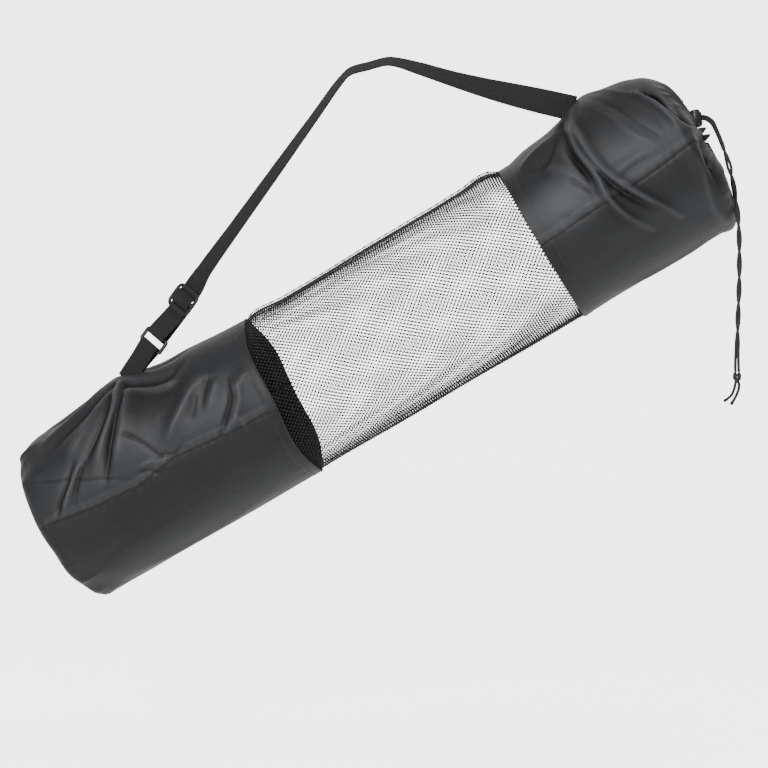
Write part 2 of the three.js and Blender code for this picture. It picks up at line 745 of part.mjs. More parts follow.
// Drawstring: two strands through the lock, knotted together below, and their two tails
function cordPoint([right, back, up]) {
  return lock.position.clone().add(new THREE.Vector3(right, back, up));
}
function cordTube(points) {
  const path = new THREE.CatmullRomCurve3(points.map(cordPoint));
  const outline = new THREE.Shape();
  for (let i = 0; i < cordSides; i += 1) {
    const angle = (i * 2 * Math.PI) / cordSides;
    const [x, y] = [Math.cos(angle), Math.sin(angle)].map((share) => (share * cordDiameter) / 2);
    if (i === 0) outline.moveTo(x, y);
    else outline.lineTo(x, y);
  }
  outline.closePath();
  const steps = Math.round(path.getLength() / cordStep);
  return new THREE.ExtrudeGeometry(outline, { steps, extrudePath: path, bevelEnabled: false });
}
addPiece(bag, 'drawstring_front', cordTube(frontCord), cordFibre);
addPiece(bag, 'drawstring_back', cordTube(backCord), cordFibre);
addPiece(bag, 'drawstring_tail_left', cordTube(leftTail), cordFibre);
addPiece(bag, 'drawstring_tail_right', cordTube(rightTail), cordFibre);
const knotProfile = knotOutline.map(({ out, up }) => (
  new THREE.Vector2(out * knotRadius, up * knotLength)));
const knotShape = new THREE.LatheGeometry(knotProfile, knotSides).rotateX(Math.PI / 2);
const knot = addPiece(bag, 'drawstring_knot', knotShape, cordFibre);
knot.position.copy(cordPoint(knotPlace));

export default bag;
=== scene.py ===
"""Looks of a yoga mat bag that hangs by its shoulder strap: charcoal cloth ends, a black net
window, ribbed webbing, moulded fittings and a knotted drawstring. Metres, +Z up."""

import math
from collections import namedtuple
from contextlib import contextmanager

import bmesh
import bpy
import numpy as np
from mathutils import Matrix, Vector


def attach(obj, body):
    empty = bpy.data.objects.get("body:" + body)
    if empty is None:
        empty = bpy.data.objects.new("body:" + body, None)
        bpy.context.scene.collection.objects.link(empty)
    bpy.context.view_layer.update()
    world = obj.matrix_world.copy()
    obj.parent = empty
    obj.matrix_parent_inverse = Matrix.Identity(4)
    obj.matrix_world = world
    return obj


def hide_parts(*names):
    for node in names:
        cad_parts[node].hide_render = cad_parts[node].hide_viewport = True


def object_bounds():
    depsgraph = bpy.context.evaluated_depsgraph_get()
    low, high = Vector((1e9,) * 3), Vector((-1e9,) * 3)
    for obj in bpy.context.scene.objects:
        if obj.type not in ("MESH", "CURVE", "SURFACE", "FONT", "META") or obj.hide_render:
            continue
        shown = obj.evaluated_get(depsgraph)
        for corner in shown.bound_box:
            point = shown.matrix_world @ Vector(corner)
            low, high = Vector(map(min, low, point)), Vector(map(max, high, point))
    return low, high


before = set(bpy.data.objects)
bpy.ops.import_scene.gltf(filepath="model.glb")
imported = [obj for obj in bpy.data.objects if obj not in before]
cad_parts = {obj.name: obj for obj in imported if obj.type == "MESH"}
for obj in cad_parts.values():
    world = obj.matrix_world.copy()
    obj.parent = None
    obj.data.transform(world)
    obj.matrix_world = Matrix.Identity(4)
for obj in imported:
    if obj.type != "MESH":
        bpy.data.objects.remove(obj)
cad_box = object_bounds()

# Body of the bag, along its own axis from the base to the mouth
BODY_TILT = math.radians(30.6)
TUBE_RADIUS = 0.0755
LOWER_LENGTH = 0.232
NET_LENGTH = 0.265
UPPER_LENGTH = 0.168
TUBE_LENGTH = LOWER_LENGTH + NET_LENGTH + UPPER_LENGTH
UPPER_START = LOWER_LENGTH + NET_LENGTH
GRIP_ALONG = 0.665
GRIP_RISE = 0.2075
CLOTH = 0.0006

AXIS = np.array((math.cos(BODY_TILT), 0, math.sin(BODY_TILT)))
RISE = np.array((-math.sin(BODY_TILT), 0, math.cos(BODY_TILT)))
FRONT = np.array((0, -1.0, 0))
BASE = -(GRIP_ALONG * TUBE_LENGTH * AXIS + GRIP_RISE * RISE)

# Webbing, fittings and drawstring
WEBBING_WIDTH = 0.022
WEBBING_THICK = 0.0014
CORD_DIAMETER = 0.0025
CORD_DENT = 0.05


# Places on the bag

def on_bag(along, angle, radius):
    """Points at a distance along the bag, an angle from its top towards the front, and a radius."""
    along, angle, radius = np.broadcast_arrays(along, angle, radius)
    out = (radius * np.cos(angle))[..., None] * RISE + (radius * np.sin(angle))[..., None] * FRONT
    return BASE + along[..., None] * AXIS + out


def smooth_table(at, places, values):
    """A smooth curve through a table's values, read at any places."""
    places = np.asarray(places, float)
    values = np.asarray(values, float)
    slopes = np.gradient(values, places)
    i = np.clip(np.searchsorted(places, at, side="right") - 1, 0, len(places) - 2)
    step = places[i + 1] - places[i]
    t = np.clip((at - places[i]) / step, 0, 1)
    rise = t * t * (3 - 2 * t)
    lead = t * (1 - t) ** 2 * step * slopes[i] - t * t * (1 - t) * step * slopes[i + 1]
    return values[i] * (1 - rise) + values[i + 1] * rise + lead


def smooth_step(x, low, high):
    t = np.clip((x - low) / (high - low), 0, 1)
    return t * t * (3 - 2 * t)


def spline(points, steps):
    """A centripetal Catmull-Rom curve through the points, with some steps for each span."""
    points = np.asarray(points, float)
    padded = np.vstack([2 * points[0] - points[1], points, 2 * points[-1] - points[-2]])
    made = []
    share = np.linspace(0, 1, steps, endpoint=False)[:, None]
    for p0, p1, p2, p3 in zip(padded, padded[1:], padded[2:], padded[3:]):
        d0, d1, d2 = (max(np.linalg.norm(b - a), 1e-9) ** 0.5 for a, b in ((p0, p1), (p1, p2), (p2, p3)))
        t1 = ((p1 - p0) / d0 - (p2 - p0) / (d0 + d1) + (p2 - p1) / d1) * d1
        t2 = ((p2 - p1) / d1 - (p3 - p1) / (d1 + d2) + (p3 - p2) / d2) * d1
        c2 = -3 * p1 + 3 * p2 - 2 * t1 - t2
        c3 = 2 * p1 - 2 * p2 + t1 + t2
        made.append(p1 + t1 * share + c2 * share ** 2 + c3 * share ** 3)
    return np.vstack([*made, points[-1:]])


def distances(points):
    """How far each point of a path lies from its start."""
    return np.concatenate([[0], np.cumsum(np.linalg.norm(np.diff(points, axis=0), axis=1))])


# Making meshes

def add_object(name, data):
    """An object in the scene that holds the data."""
    made = bpy.data.objects.new(name, data)
    bpy.context.scene.collection.objects.link(made)
    return made


def edge_piece(name, points, edges):
    """Bare edges, for a node tree to grow on."""
    mesh = bpy.data.meshes.new(name)
    mesh.from_pydata([tuple(p) for p in points], edges, [])
    return add_object(name, mesh)


@contextmanager
def mesh_edit(piece):
    """Opens a piece's mesh for editing and writes it back."""
    made = bmesh.new()
    made.from_mesh(piece.data)
    yield made
    made.to_mesh(piece.data)
    made.free()


def new_piece(name, points, faces, uvs=None):
    """A smooth-shaded mesh object. uvs holds one pair for each corner of each face."""
    mesh = bpy.data.meshes.new(name)
    mesh.from_pydata([tuple(p) for p in points], [], [tuple(f) for f in faces])
    if uvs is not None:
        layer = mesh.uv_layers.new(name="cloth")
        layer.data.foreach_set("uv", np.asarray(uvs, np.float32).ravel())
    mesh.shade_smooth()
    return add_object(name, mesh)


def grid_faces(rows, columns, closed_around, closed_along=False):
    """Quads of a grid of points, and the row and column of each of their corners."""
    spans = (np.arange(rows - (not closed_along)), np.arange(columns - (not closed_around)))
    i, j = np.meshgrid(*spans, indexing="ij")
    i, j = i.ravel(), j.ravel()
    corner_rows = np.stack([i, i + 1, i + 1, i], axis=1)
    corner_columns = np.stack([j, j, j + 1, j + 1], axis=1)
    faces = (corner_rows % rows) * columns + corner_columns % columns
    return faces, corner_rows, corner_columns


def grid_piece(name, points, u, v, closed_around=True, closed_along=False, flip=False):
    """A sheet through a grid of points. u and v are sizes in metres along its columns and rows."""
    rows, columns = points.shape[:2]
    faces, corner_rows, corner_columns = grid_faces(rows, columns, closed_around, closed_along)
    uvs = np.stack([np.asarray(u)[corner_columns], np.asarray(v)[corner_rows]], axis=-1)
    if flip:
        faces, uvs = faces[:, ::-1], uvs[:, ::-1]
    return new_piece(name, points.reshape(-1, 3), faces, uvs)


def give_wall(piece, thickness):
    """Thickens a sheet inwards."""
    wall = piece.modifiers.new("wall", "SOLIDIFY")
    wall.thickness = thickness
    wall.offset = -1
    wall.use_even_offset = False


def finish_piece(piece, body, material, slot, *nodes):
    """Rides a piece on a body, gives it its finish and hides the solids it stands for."""
    piece.data.materials.clear()
    piece.data.materials.append(material)
    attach(piece, body)
    if nodes:
        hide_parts(*nodes)
    return piece


def sweep(name, centres, sides, tops, profile, closed=False):
    """A solid with one cross-section, a list of shares of each side and top vector, along a path."""
    profile = np.asarray(profile, float)
    ring = centres[:, None] + profile[:, 0, None] * sides[:, None] + profile[:, 1, None] * tops[:, None]
    run = distances(centres)
    half_width = np.linalg.norm(sides[0])
    edges = np.vstack([profile, profile[:1]]) * (half_width, np.linalg.norm(tops[0]))
    around = distances(edges)
    if closed:
        run = np.append(run, run[-1] + np.linalg.norm(centres[0] - centres[-1]))
    piece = grid_piece(name, ring, around, run, True, closed)
    if not closed:
        cap_ends(piece, len(centres), len(profile))
    face_outwards(piece)
    return piece


def cap_ends(piece, rows, columns):
    with mesh_edit(piece) as made:
        made.verts.ensure_lookup_table()
        for start in (0, (rows - 1) * columns):
            made.faces.new([made.verts[start + k] for k in range(columns)])


def face_outwards(piece):
    with mesh_edit(piece) as made:
        bmesh.ops.recalc_face_normals(made, faces=made.faces)
    piece.data.shade_smooth()


def join_pieces(name, parts):
    """One object from several that carry the same finish."""
    joined, *others = parts
    with mesh_edit(joined) as made:
        for part in others:
            made.from_mesh(part.data)
    joined.name = name
    for part in others:
        bpy.data.objects.remove(part)
    return joined


# Camera

CAMERA_PLACE = Vector((0.2374, -1.5823, -0.1915))
CAMERA_TARGET = Vector((0.015, 0, -0.2752))


def aim(thing, place, target):
    """Puts a camera or a lamp at its place and turns it to its target."""
    thing.location = place
    thing.rotation_euler = (Vector(target) - Vector(place)).to_track_quat("-Z", "Y").to_euler()


def make_camera():
    data = bpy.data.cameras.new("camera")
    data.lens = 85
    data.sensor_width = 36
    camera = add_object("camera", data)
    aim(camera, CAMERA_PLACE, CAMERA_TARGET)
    bpy.context.scene.camera = camera


make_camera()


# Shared shader groups

def new_group(name, inputs, outputs):
    """A shader node group with named value inputs, and its input and output nodes."""
    group = bpy.data.node_groups.new(name, "ShaderNodeTree")
    for label, kind, value in inputs:
        socket = group.interface.new_socket(name=label, in_out="INPUT", socket_type=kind)
        if value is not None:
            socket.default_value = value
    for label, kind in outputs:
        group.interface.new_socket(name=label, in_out="OUTPUT", socket_type=kind)
    return group, group.nodes.new("NodeGroupInput"), group.nodes.new("NodeGroupOutput")


def feed(tree, socket, value):
    """Gives a socket a number, or links another socket to it."""
    if isinstance(value, (int, float)):
        socket.default_value = value
    else:
        tree.links.new(value, socket)


def add_node(tree, kind, **inputs):
    """A node with some inputs fed. An input's name is written with underscores for its spaces."""
    node = tree.nodes.new(kind)
    for label, value in inputs.items():
        feed(tree, node.inputs[label.replace("_", " ")], value)
    return node


def add_math(tree, operation, *values):
    """A math node. Each value is a number or a socket to link."""
    node = tree.nodes.new("ShaderNodeMath")
    node.operation = operation
    for socket, value in zip(node.inputs, values):
        feed(tree, socket, value)
    return node.outputs[0]


def add_noise(tree, vector, scale, detail):
    noise = add_node(tree, "ShaderNodeTexNoise", Scale=scale, Detail=detail, Roughness=0.5, Vector=vector)
    return noise.outputs["Fac"]


def waves_along(tree, distance, pitch):
    """A wave from 0 to 1 over each pitch of a distance."""
    turned = add_math(tree, "MULTIPLY", add_math(tree, "DIVIDE", distance, pitch), 2 * math.pi)
    return add_math(tree, "MULTIPLY_ADD", add_math(tree, "SINE", turned), 0.5, 0.5)


FLOAT = "NodeSocketFloat"


def make_weave_group():
    """Over-and-under threads from a surface's own sizes in metres."""
    inputs = [("Across", FLOAT, 0.0), ("Along", FLOAT, 0.0), ("Pitch", FLOAT, 0.0006)]
    group, start, end = new_group("woven threads", inputs, [("Height", FLOAT)])
    across, along, pitch = (start.outputs[n] for n in ("Across", "Along", "Pitch"))
    warp = waves_along(group, across, pitch)
    weft = waves_along(group, along, pitch)
    double = add_math(group, "MULTIPLY", pitch, 2.0)
    over = waves_along(group, add_math(group, "ADD", across, along), double)
    threads = add_math(group, "ADD", add_math(group, "MULTIPLY", warp, over),
                       add_math(group, "MULTIPLY", weft, add_math(group, "SUBTRACT", 1.0, over)))
    group.links.new(threads, end.inputs["Height"])
    return group


def make_rib_group():
    """Cross ribs of webbing with a firmer edge, from its own sizes in metres. Its Shade output is the ribs'
    wave, used as painted shade in the grooves between ribs.
    """
    sizes = (("Across", 0.0), ("Along", 0.0), ("Rib", 0.0017), ("Thread", 0.0011))
    inputs = [(label, FLOAT, value) for label, value in sizes]
    group, start, end = new_group("webbing ribs", inputs, [("Height", FLOAT), ("Shade", FLOAT)])
    across, along, rib, thread = (start.outputs[n] for n in ("Across", "Along", "Rib", "Thread"))
    ribs = waves_along(group, along, rib)
    shifted = add_math(group, "ADD", across, add_math(group, "MULTIPLY", along, 0.5))
    threads = waves_along(group, shifted, thread)
    height = add_math(group, "ADD", add_math(group, "MULTIPLY", ribs, 0.75),
                      add_math(group, "MULTIPLY", threads, 0.25))
    group.links.new(height, end.inputs["Height"])
    group.links.new(ribs, end.inputs["Shade"])
    return group


def make_crumple_group():
    """Soft creases and light patches of handled cloth, from object coordinates."""
    inputs = [("Place", "NodeSocketVector", None), ("Size", FLOAT, 40.0)]
    group, start, end = new_group("handled cloth", inputs, [("Height", FLOAT), ("Patch", FLOAT)])
    place, size = start.outputs["Place"], start.outputs["Size"]
    centred = add_math(group, "SUBTRACT", add_noise(group, place, size, 3), 0.5)
    away = add_math(group, "MULTIPLY", add_math(group, "ABSOLUTE", centred), 4.0)
    crease = add_math(group, "SUBTRACT", 1.0, away)
    group.links.new(crease, end.inputs["Height"])
    group.links.new(add_noise(group, place, 14.0, 2), end.inputs["Patch"])
    return group


WEAVE = make_weave_group()
RIBS = make_rib_group()
CRUMPLE = make_crumple_group()


def new_material(name, roughness, sheen=0.0, sheen_roughness=0.5, specular=0.5):
    material = bpy.data.materials.new(name)
    material.use_nodes = True
    shader = material.node_tree.nodes["Principled BSDF"]
    shader.inputs["Roughness"].default_value = roughness
    shader.inputs["Sheen Weight"].default_value = sheen
    shader.inputs["Sheen Roughness"].default_value = sheen_roughness
    shader.inputs["Specular IOR Level"].default_value = specular
    return material, material.node_tree, shader


def use_group(tree, group, **values):
    node = tree.nodes.new("ShaderNodeGroup")
    node.node_tree = group
    for label, value in values.items():
        feed(tree, node.inputs[label], value)
    return node


def own_sizes(tree):
    """The piece's own sizes across and along, in metres, from its UV map."""
    uv = tree.nodes.new("ShaderNodeUVMap")
    uv.uv_map = "cloth"
    parts = tree.nodes.new("ShaderNodeSeparateXYZ")
    tree.links.new(uv.outputs["UV"], parts.inputs[0])
    return parts.outputs["X"], parts.outputs["Y"]


def object_place(tree):
    return tree.nodes.new("ShaderNodeTexCoord").outputs["Object"]


def paint(tree, shader, factor, stops):
    """Gives a shader a colour from a ramp of places and colours."""
    ramp = tree.nodes.new("ShaderNodeValToRGB")
    while len(ramp.color_ramp.elements) < len(stops):
        ramp.color_ramp.elements.new(0.5)
    for element, (at, colour) in zip(ramp.color_ramp.elements, stops):
        element.position = at
        element.color = (*colour, 1)
    tree.links.new(factor, ramp.inputs["Fac"])
    tree.links.new(ramp.outputs["Color"], shader.inputs["Base Color"])


def add_bump(tree, shader, *layers):
    """Bumps one after another: each layer is a height, its depth in metres and its strength."""
    normal = None
    for height, depth, strength in layers:
        bump = add_node(tree, "ShaderNodeBump", Distance=depth, Strength=strength, Height=height)
        if normal is not None:
            tree.links.new(normal, bump.inputs["Normal"])
        normal = bump.outputs["Normal"]
    tree.links.new(normal, shader.inputs["Normal"])


# Materials

def make_nylon():
    """Dark woven cloth with painted light in its colour. Its attribute of painted light runs from 0 in a
    valley, over 0.5, to 1 on a fold's ridge, giving painted shade in the valleys and painted highlights on
    the ridges and taut patches.
    """
    looks = {"sheen": 0.04, "sheen_roughness": 0.4, "specular": 0.24}
    material, tree, shader = new_material("charcoal nylon", 0.42, **looks)
    across, along = own_sizes(tree)
    crumple = use_group(tree, CRUMPLE, Place=object_place(tree), Size=46.0)
    weave = use_group(tree, WEAVE, Across=across, Along=along, Pitch=0.0007)
    painted_light = tree.nodes.new("ShaderNodeAttribute")
    painted_light.attribute_name = "painted_light"
    # Base colour: painted fold shade and painted highlights from the attribute, plus random tone from the
    # noise patches.
    lowered = add_math(tree, "SUBTRACT", painted_light.outputs["Fac"], 0.12)
    wear_and_painted_light = add_math(tree, "MULTIPLY_ADD", crumple.outputs["Patch"], 0.24, lowered)
    paint(tree, shader, wear_and_painted_light, [(0.0, (0.0045, 0.0046, 0.005)), (0.3, (0.009, 0.0093, 0.0099)),
                               (0.5, (0.0165, 0.0172, 0.0184)), (1.0, (0.042, 0.044, 0.048))])
    rough = add_math(tree, "MULTIPLY_ADD", crumple.outputs["Patch"], 0.16, 0.36)
    tree.links.new(rough, shader.inputs["Roughness"])
    add_bump(tree, shader, (crumple.outputs["Height"], 0.0006, 0.3), (weave.outputs["Height"], 0.00012, 0.5))
    return material


def make_webbing_cloth():
    material, tree, shader = new_material("ribbed webbing", 0.74, sheen=0.02, specular=0.2)
    across, along = own_sizes(tree)
    ribs = use_group(tree, RIBS, Across=across, Along=along, Rib=0.0017, Thread=0.0012)
    # Painted shade in the grooves between the ribs, lighter on their tops.
    paint(tree, shader, ribs.outputs["Shade"], [(0.1, (0.006, 0.006, 0.006)), (0.9, (0.026, 0.026, 0.025))])
    add_bump(tree, shader, (ribs.outputs["Height"], 0.0005, 0.9))
    return material


def make_speckled(name, roughness, scale, detail, dark, light, bump=None, wear_and_painted_light=None, **looks):
    """A plain dark finish with a fine grain in its colour and, where given, in its bump and roughness."""
    material, tree, shader = new_material(name, roughness, **looks)
    grain = add_noise(tree, object_place(tree), scale, detail)
    paint(tree, shader, grain, [(0.3, dark), (0.7, light)])
    if wear_and_painted_light:
        tree.links.new(add_math(tree, "MULTIPLY_ADD", grain, *wear_and_painted_light), shader.inputs["Roughness"])
    if bump:
        add_bump(tree, shader, (grain, bump, 0.5))
    return material


def make_cord_fibre():
    material, tree, shader = new_material("braided cord", 0.66, sheen=0.15, specular=0.35)
    across, along = own_sizes(tree)
    braid = use_group(tree, WEAVE, Across=add_math(tree, "ADD", across, along),
                      Along=add_math(tree, "SUBTRACT", along, across), Pitch=0.0011)
    # Painted shade between the braid's strands, lighter on their tops.
    paint(tree, shader, braid.outputs["Height"], [(0.1, (0.007, 0.007, 0.007)), (0.9, (0.024, 0.024, 0.024))])
    add_bump(tree, shader, (braid.outputs["Height"], 0.0003, 0.8))
    return material


NYLON = make_nylon()
WEBBING = make_webbing_cloth()
NET_YARN = make_speckled("black net yarn", 0.6, 900.0, 2, (0.007, 0.007, 0.008), (0.02, 0.02, 0.021),
                         bump=0.0002, sheen=0.1, specular=0.3)
MOULDED = make_speckled("moulded nylon", 0.34, 1500.0, 2, (0.011, 0.011, 0.012), (0.017, 0.017, 0.018),
                        bump=0.00008, wear_and_painted_light=(0.15, 0.28))
CORD_FIBRE = make_cord_fibre()
THREAD = make_speckled("sewing thread", 0.5, 2500.0, 1, (0.012, 0.012, 0.013), (0.03, 0.03, 0.032), sheen=0.1)


# Drawn mouth and place of the lock

MOUTH_SHARES = (0.62, 0.47, 0.28)
MOUTH_ALONG = 0.966
LOCK_TILT = math.radians(8)
LOCK_ANGLE = math.radians(43)
LOCK_OUT = 0.0027
LOCK_INSET = 0.01157
BARREL_RADIUS = 0.0055
BARREL_TOP = 0.0052
BARREL_BOTTOM = 0.0075
BARREL_FLOOR = 0.001
BUTTON_RADIUS = 0.0039
BUTTON_TRAVEL = 0.002
BUTTON_PROUD = 0.0024


def section_radius(up, side, down, angle):
    """Radius of a section with its own reach over, beside and under the axis."""
    cosine = np.cos(angle)
    return TUBE_RADIUS * (side + (np.where(cosine > 0, up, down) - side) * cosine ** 2)


MOUTH_END = UPPER_START + UPPER_LENGTH * MOUTH_ALONG
LOCK = on_bag(MOUTH_END + LOCK_OUT, LOCK_ANGLE, section_radius(*MOUTH_SHARES, LOCK_ANGLE) - LOCK_INSET)

# Drawstring, from the centre of the lock

FRONT_CORD = (
    (-0.0068, 0, 0.00045), (0, 0, 0.0014), (0.0064, 0, 0.0022), (0.0134, -0.0006, -0.0008),
    (0.0184, -0.0024, -0.0104), (0.0234, -0.0048, -0.023), (0.0276, -0.0076, -0.037), (0.031, -0.0108, -0.05),
    (0.034, -0.014, -0.068), (0.036, -0.0166, -0.083), (0.0372, -0.0176, -0.1), (0.0376, -0.0176, -0.118),
    (0.0378, -0.0172, -0.136), (0.0376, -0.0166, -0.153), (0.0372, -0.0159, -0.171), (0.037, -0.0153, -0.189),
    (0.0368, -0.015, -0.205), (0.037, -0.0152, -0.2132))
BACK_CORD = (
    (-0.0068, 0, -0.00235), (0, 0, -0.0014), (0.0064, 0, -0.00055), (0.0124, 0.0006, -0.0042),
    (0.0168, 0.0006, -0.012), (0.0216, -0.0016, -0.024), (0.026, -0.0046, -0.037), (0.029, -0.0078, -0.05),
    (0.032, -0.0114, -0.067), (0.034, -0.0139, -0.083), (0.035, -0.0148, -0.1), (0.0354, -0.0146, -0.118),
    (0.0354, -0.014, -0.136), (0.035, -0.0136, -0.153), (0.0346, -0.0136, -0.171), (0.0342, -0.014, -0.189),
    (0.034, -0.0146, -0.205), (0.0342, -0.015, -0.2132))
LEFT_TAIL = (
    (0.0344, -0.0154, -0.2223), (0.0334, -0.0158, -0.227),
    (0.031, -0.0164, -0.2326), (0.0248, -0.017, -0.238))
RIGHT_TAIL = (
    (0.0374, -0.0147, -0.2223), (0.0372, -0.0142, -0.227),
    (0.0352, -0.014, -0.233), (0.0308, -0.014, -0.241))
KNOT_PLACE = (0.0356, -0.0151, -0.2178)
CORD_SIDES = 12
BRAID_PITCH = 0.0011
STRAND_STEPS = 14


def tube_frames(path):
    """Directions across a path that turn as little as they can."""
    run = np.gradient(path, axis=0)
    run /= np.linalg.norm(run, axis=1)[:, None]
    side = np.cross(run[0], (0.3, 1, 0.2))
    sides = []
    for along in run:
        side = side - along * (side @ along)
        side /= np.linalg.norm(side)
        sides.append(side)
    sides = np.array(sides)
    return sides, np.cross(run, sides)


def cord_tube(name, path, radius, swell=None):
    """A braided tube along a path. swell holds its thickness at each point, as a share."""
    sides, tops = tube_frames(path)
    angles = np.linspace(0, 2 * math.pi, CORD_SIDES, endpoint=False)
    run = distances(path)
    plump = 1 - CORD_DENT * (0.5 + 0.5 * np.cos(2 * angles[None] + run[:, None] / BRAID_PITCH))
    if swell is not None:
        plump = plump * np.asarray(swell)[:, None]
    reach = radius * plump[..., None]
    cosines, sines = np.cos(angles)[None, :, None], np.sin(angles)[None, :, None]
    ring = path[:, None] + reach * (cosines * sides[:, None] + sines * tops[:, None])
    around = np.linspace(0, 2 * math.pi * radius, CORD_SIDES + 1)
    piece = grid_piece(name, ring, around, run)
    cap_ends(piece, len(path), CORD_SIDES)
    face_outwards(piece)
    return piece


TWISTS = 4
LAID_FROM = 0.007
TWIST_FROM = 0.045
TWIST_TO_END = 0.02
OPENED_AT = 0.068


def twisted_strands():
    """The two strands, laid round each other between the lock's bend and the knot."""
    front, back = (LOCK + spline(points, STRAND_STEPS) for points in (FRONT_CORD, BACK_CORD))
    middle, half = (front + back) / 2, (front - back) / 2
    run = distances(middle)
    sides, tops = tube_frames(middle)
    turn = np.unwrap(np.arctan2((half * tops).sum(1), (half * sides).sum(1)))
    share = np.clip((run - TWIST_FROM) / (run[-1] - TWIST_TO_END - TWIST_FROM), 0, 1)
    turn = turn + TWISTS * 2 * math.pi * share
    reach = np.linalg.norm(half, axis=1)
    held = smooth_step(run, LAID_FROM, LAID_FROM + 0.009)
    held = held * (1 - smooth_step(run, run[-1] - TWIST_TO_END, run[-1]))
    opened = 1 + 0.7 * np.exp(-((run - OPENED_AT) / 0.006) ** 2)
    reach = reach + (CORD_DIAMETER * 0.46 * opened - reach) * held
    laid = reach[:, None] * (np.cos(turn)[:, None] * sides + np.sin(turn)[:, None] * tops)
    return middle + laid, middle - laid


def make_braid(node, path, swell=None):
    piece = cord_tube(node + "_braid", path, CORD_DIAMETER / 2, swell)
    return finish_piece(piece, "bag", CORD_FIBRE, "cord", node)


def make_tail(node, points):
    """A free end of the drawstring, with a swollen and then narrowed tip."""
    path = LOCK + spline(points, STRAND_STEPS)
    share = np.linspace(0, 1, len(path))
    tip = 1 + 0.16 * smooth_step(share, 0.86, 0.93) - 0.5 * smooth_step(share, 0.97, 1)
    return make_braid(node, path, tip)


def make_drawstring():
    paths = twisted_strands()
    strands = [make_braid(node, path) for node, path in zip(("drawstring_front", "drawstring_back"), paths)]
    left = make_tail("drawstring_tail_left", LEFT_TAIL)
    right = make_tail("drawstring_tail_right", RIGHT_TAIL)
    knot = make_knot()


KNOT_TURNS = (
    (0.0012, 0.0, 0.0042), (0.0022, -0.0008, 0.0022), (0.0018, -0.002, 0.0002), (-0.0004, -0.0023, -0.0012),
    (-0.0021, -0.001, -0.0008), (-0.0022, 0.0012, 0.0008), (-0.0004, 0.0023, 0.0018),
    (0.0017, 0.0016, 0.0012), (0.0022, -0.0004, -0.0006), (0.0010, -0.0018, -0.0020),
    (-0.0008, -0.0010, -0.0032), (-0.0012, 0.0002, -0.0044))
HALF_TURN = (-1, -1, 1)


def make_knot():
    """Both strands laid together in one overhand knot."""
    turns = np.array(KNOT_TURNS)
    place = LOCK + np.array(KNOT_PLACE)
    strands = [cord_tube("knot_strand", place + spline(path, 8), CORD_DIAMETER / 2)
               for path in (turns, turns * np.array(HALF_TURN))]
    knot = join_pieces("drawstring_knot_turns", strands)
    return finish_piece(knot, "bag", CORD_FIBRE, "cord", "drawstring_knot")


make_drawstring()


# Cloth panels

BASE_RADIUS = TUBE_RADIUS - 0.0053
LIP = (BASE_RADIUS + 0.0018) / TUBE_RADIUS

# Share of the panel's length, then shares of TUBE_RADIUS over, beside and under
LOWER_SECTIONS = (
    (0, LIP, LIP, LIP + 0.012), (0.015, 1.005, 1.005, 0.985), (0.047, 1.062, 1.02, 0.99),
    (0.12, 1.084, 1.03, 0.988), (0.2, 1.102, 1.033, 0.99), (0.32, 1.14, 1.037, 0.99),
    (0.42, 1.172, 1.04, 0.992), (0.487, 1.185, 1.042, 0.995),
    (0.578, 1.115, 1.042, 1), (0.65, 1.07, 1.04, 1.003), (0.76, 1.054, 1.035, 1.004),
    (0.88, 1.018, 1.022, 1.002), (1, 0.99, 1, 1))
UPPER_SECTIONS = (
    (0, 0.945, 1, 0.995), (0.048, 0.95, 1, 0.99), (0.15, 1, 1.03, 0.98), (0.32, 1.045, 1.05, 0.975),
    (0.4185, 1.1, 1.05, 0.972), (0.5327, 1.185, 1.048, 0.968), (0.66, 1.145, 1.045, 0.965),
    (0.8, 1.075, 1.045, 0.962), (0.892, 0.955, 1.025, 0.957), (0.924, 0.86, 0.93, 0.87),
    (0.95, 0.755, 0.72, 0.6), (MOUTH_ALONG, *MOUTH_SHARES))

# A crease: its height, its half width, its strength at both ends, and its path as distances along
# the bag and angles from the top towards the front in degrees. Valleys have a negative height.
Crease = namedtuple("Crease", "height width start end path")
MILLIMETRES = 1000


def make_creases(rows):
    """Creases in metres from rows whose heights, widths and distances are in millimetres."""
    made = []
    for height, width, start, end, path in rows:
        path = [(along / MILLIMETRES, turn) for along, turn in path]
        made.append(Crease(height / MILLIMETRES, width / MILLIMETRES, start, end, path))
    return made


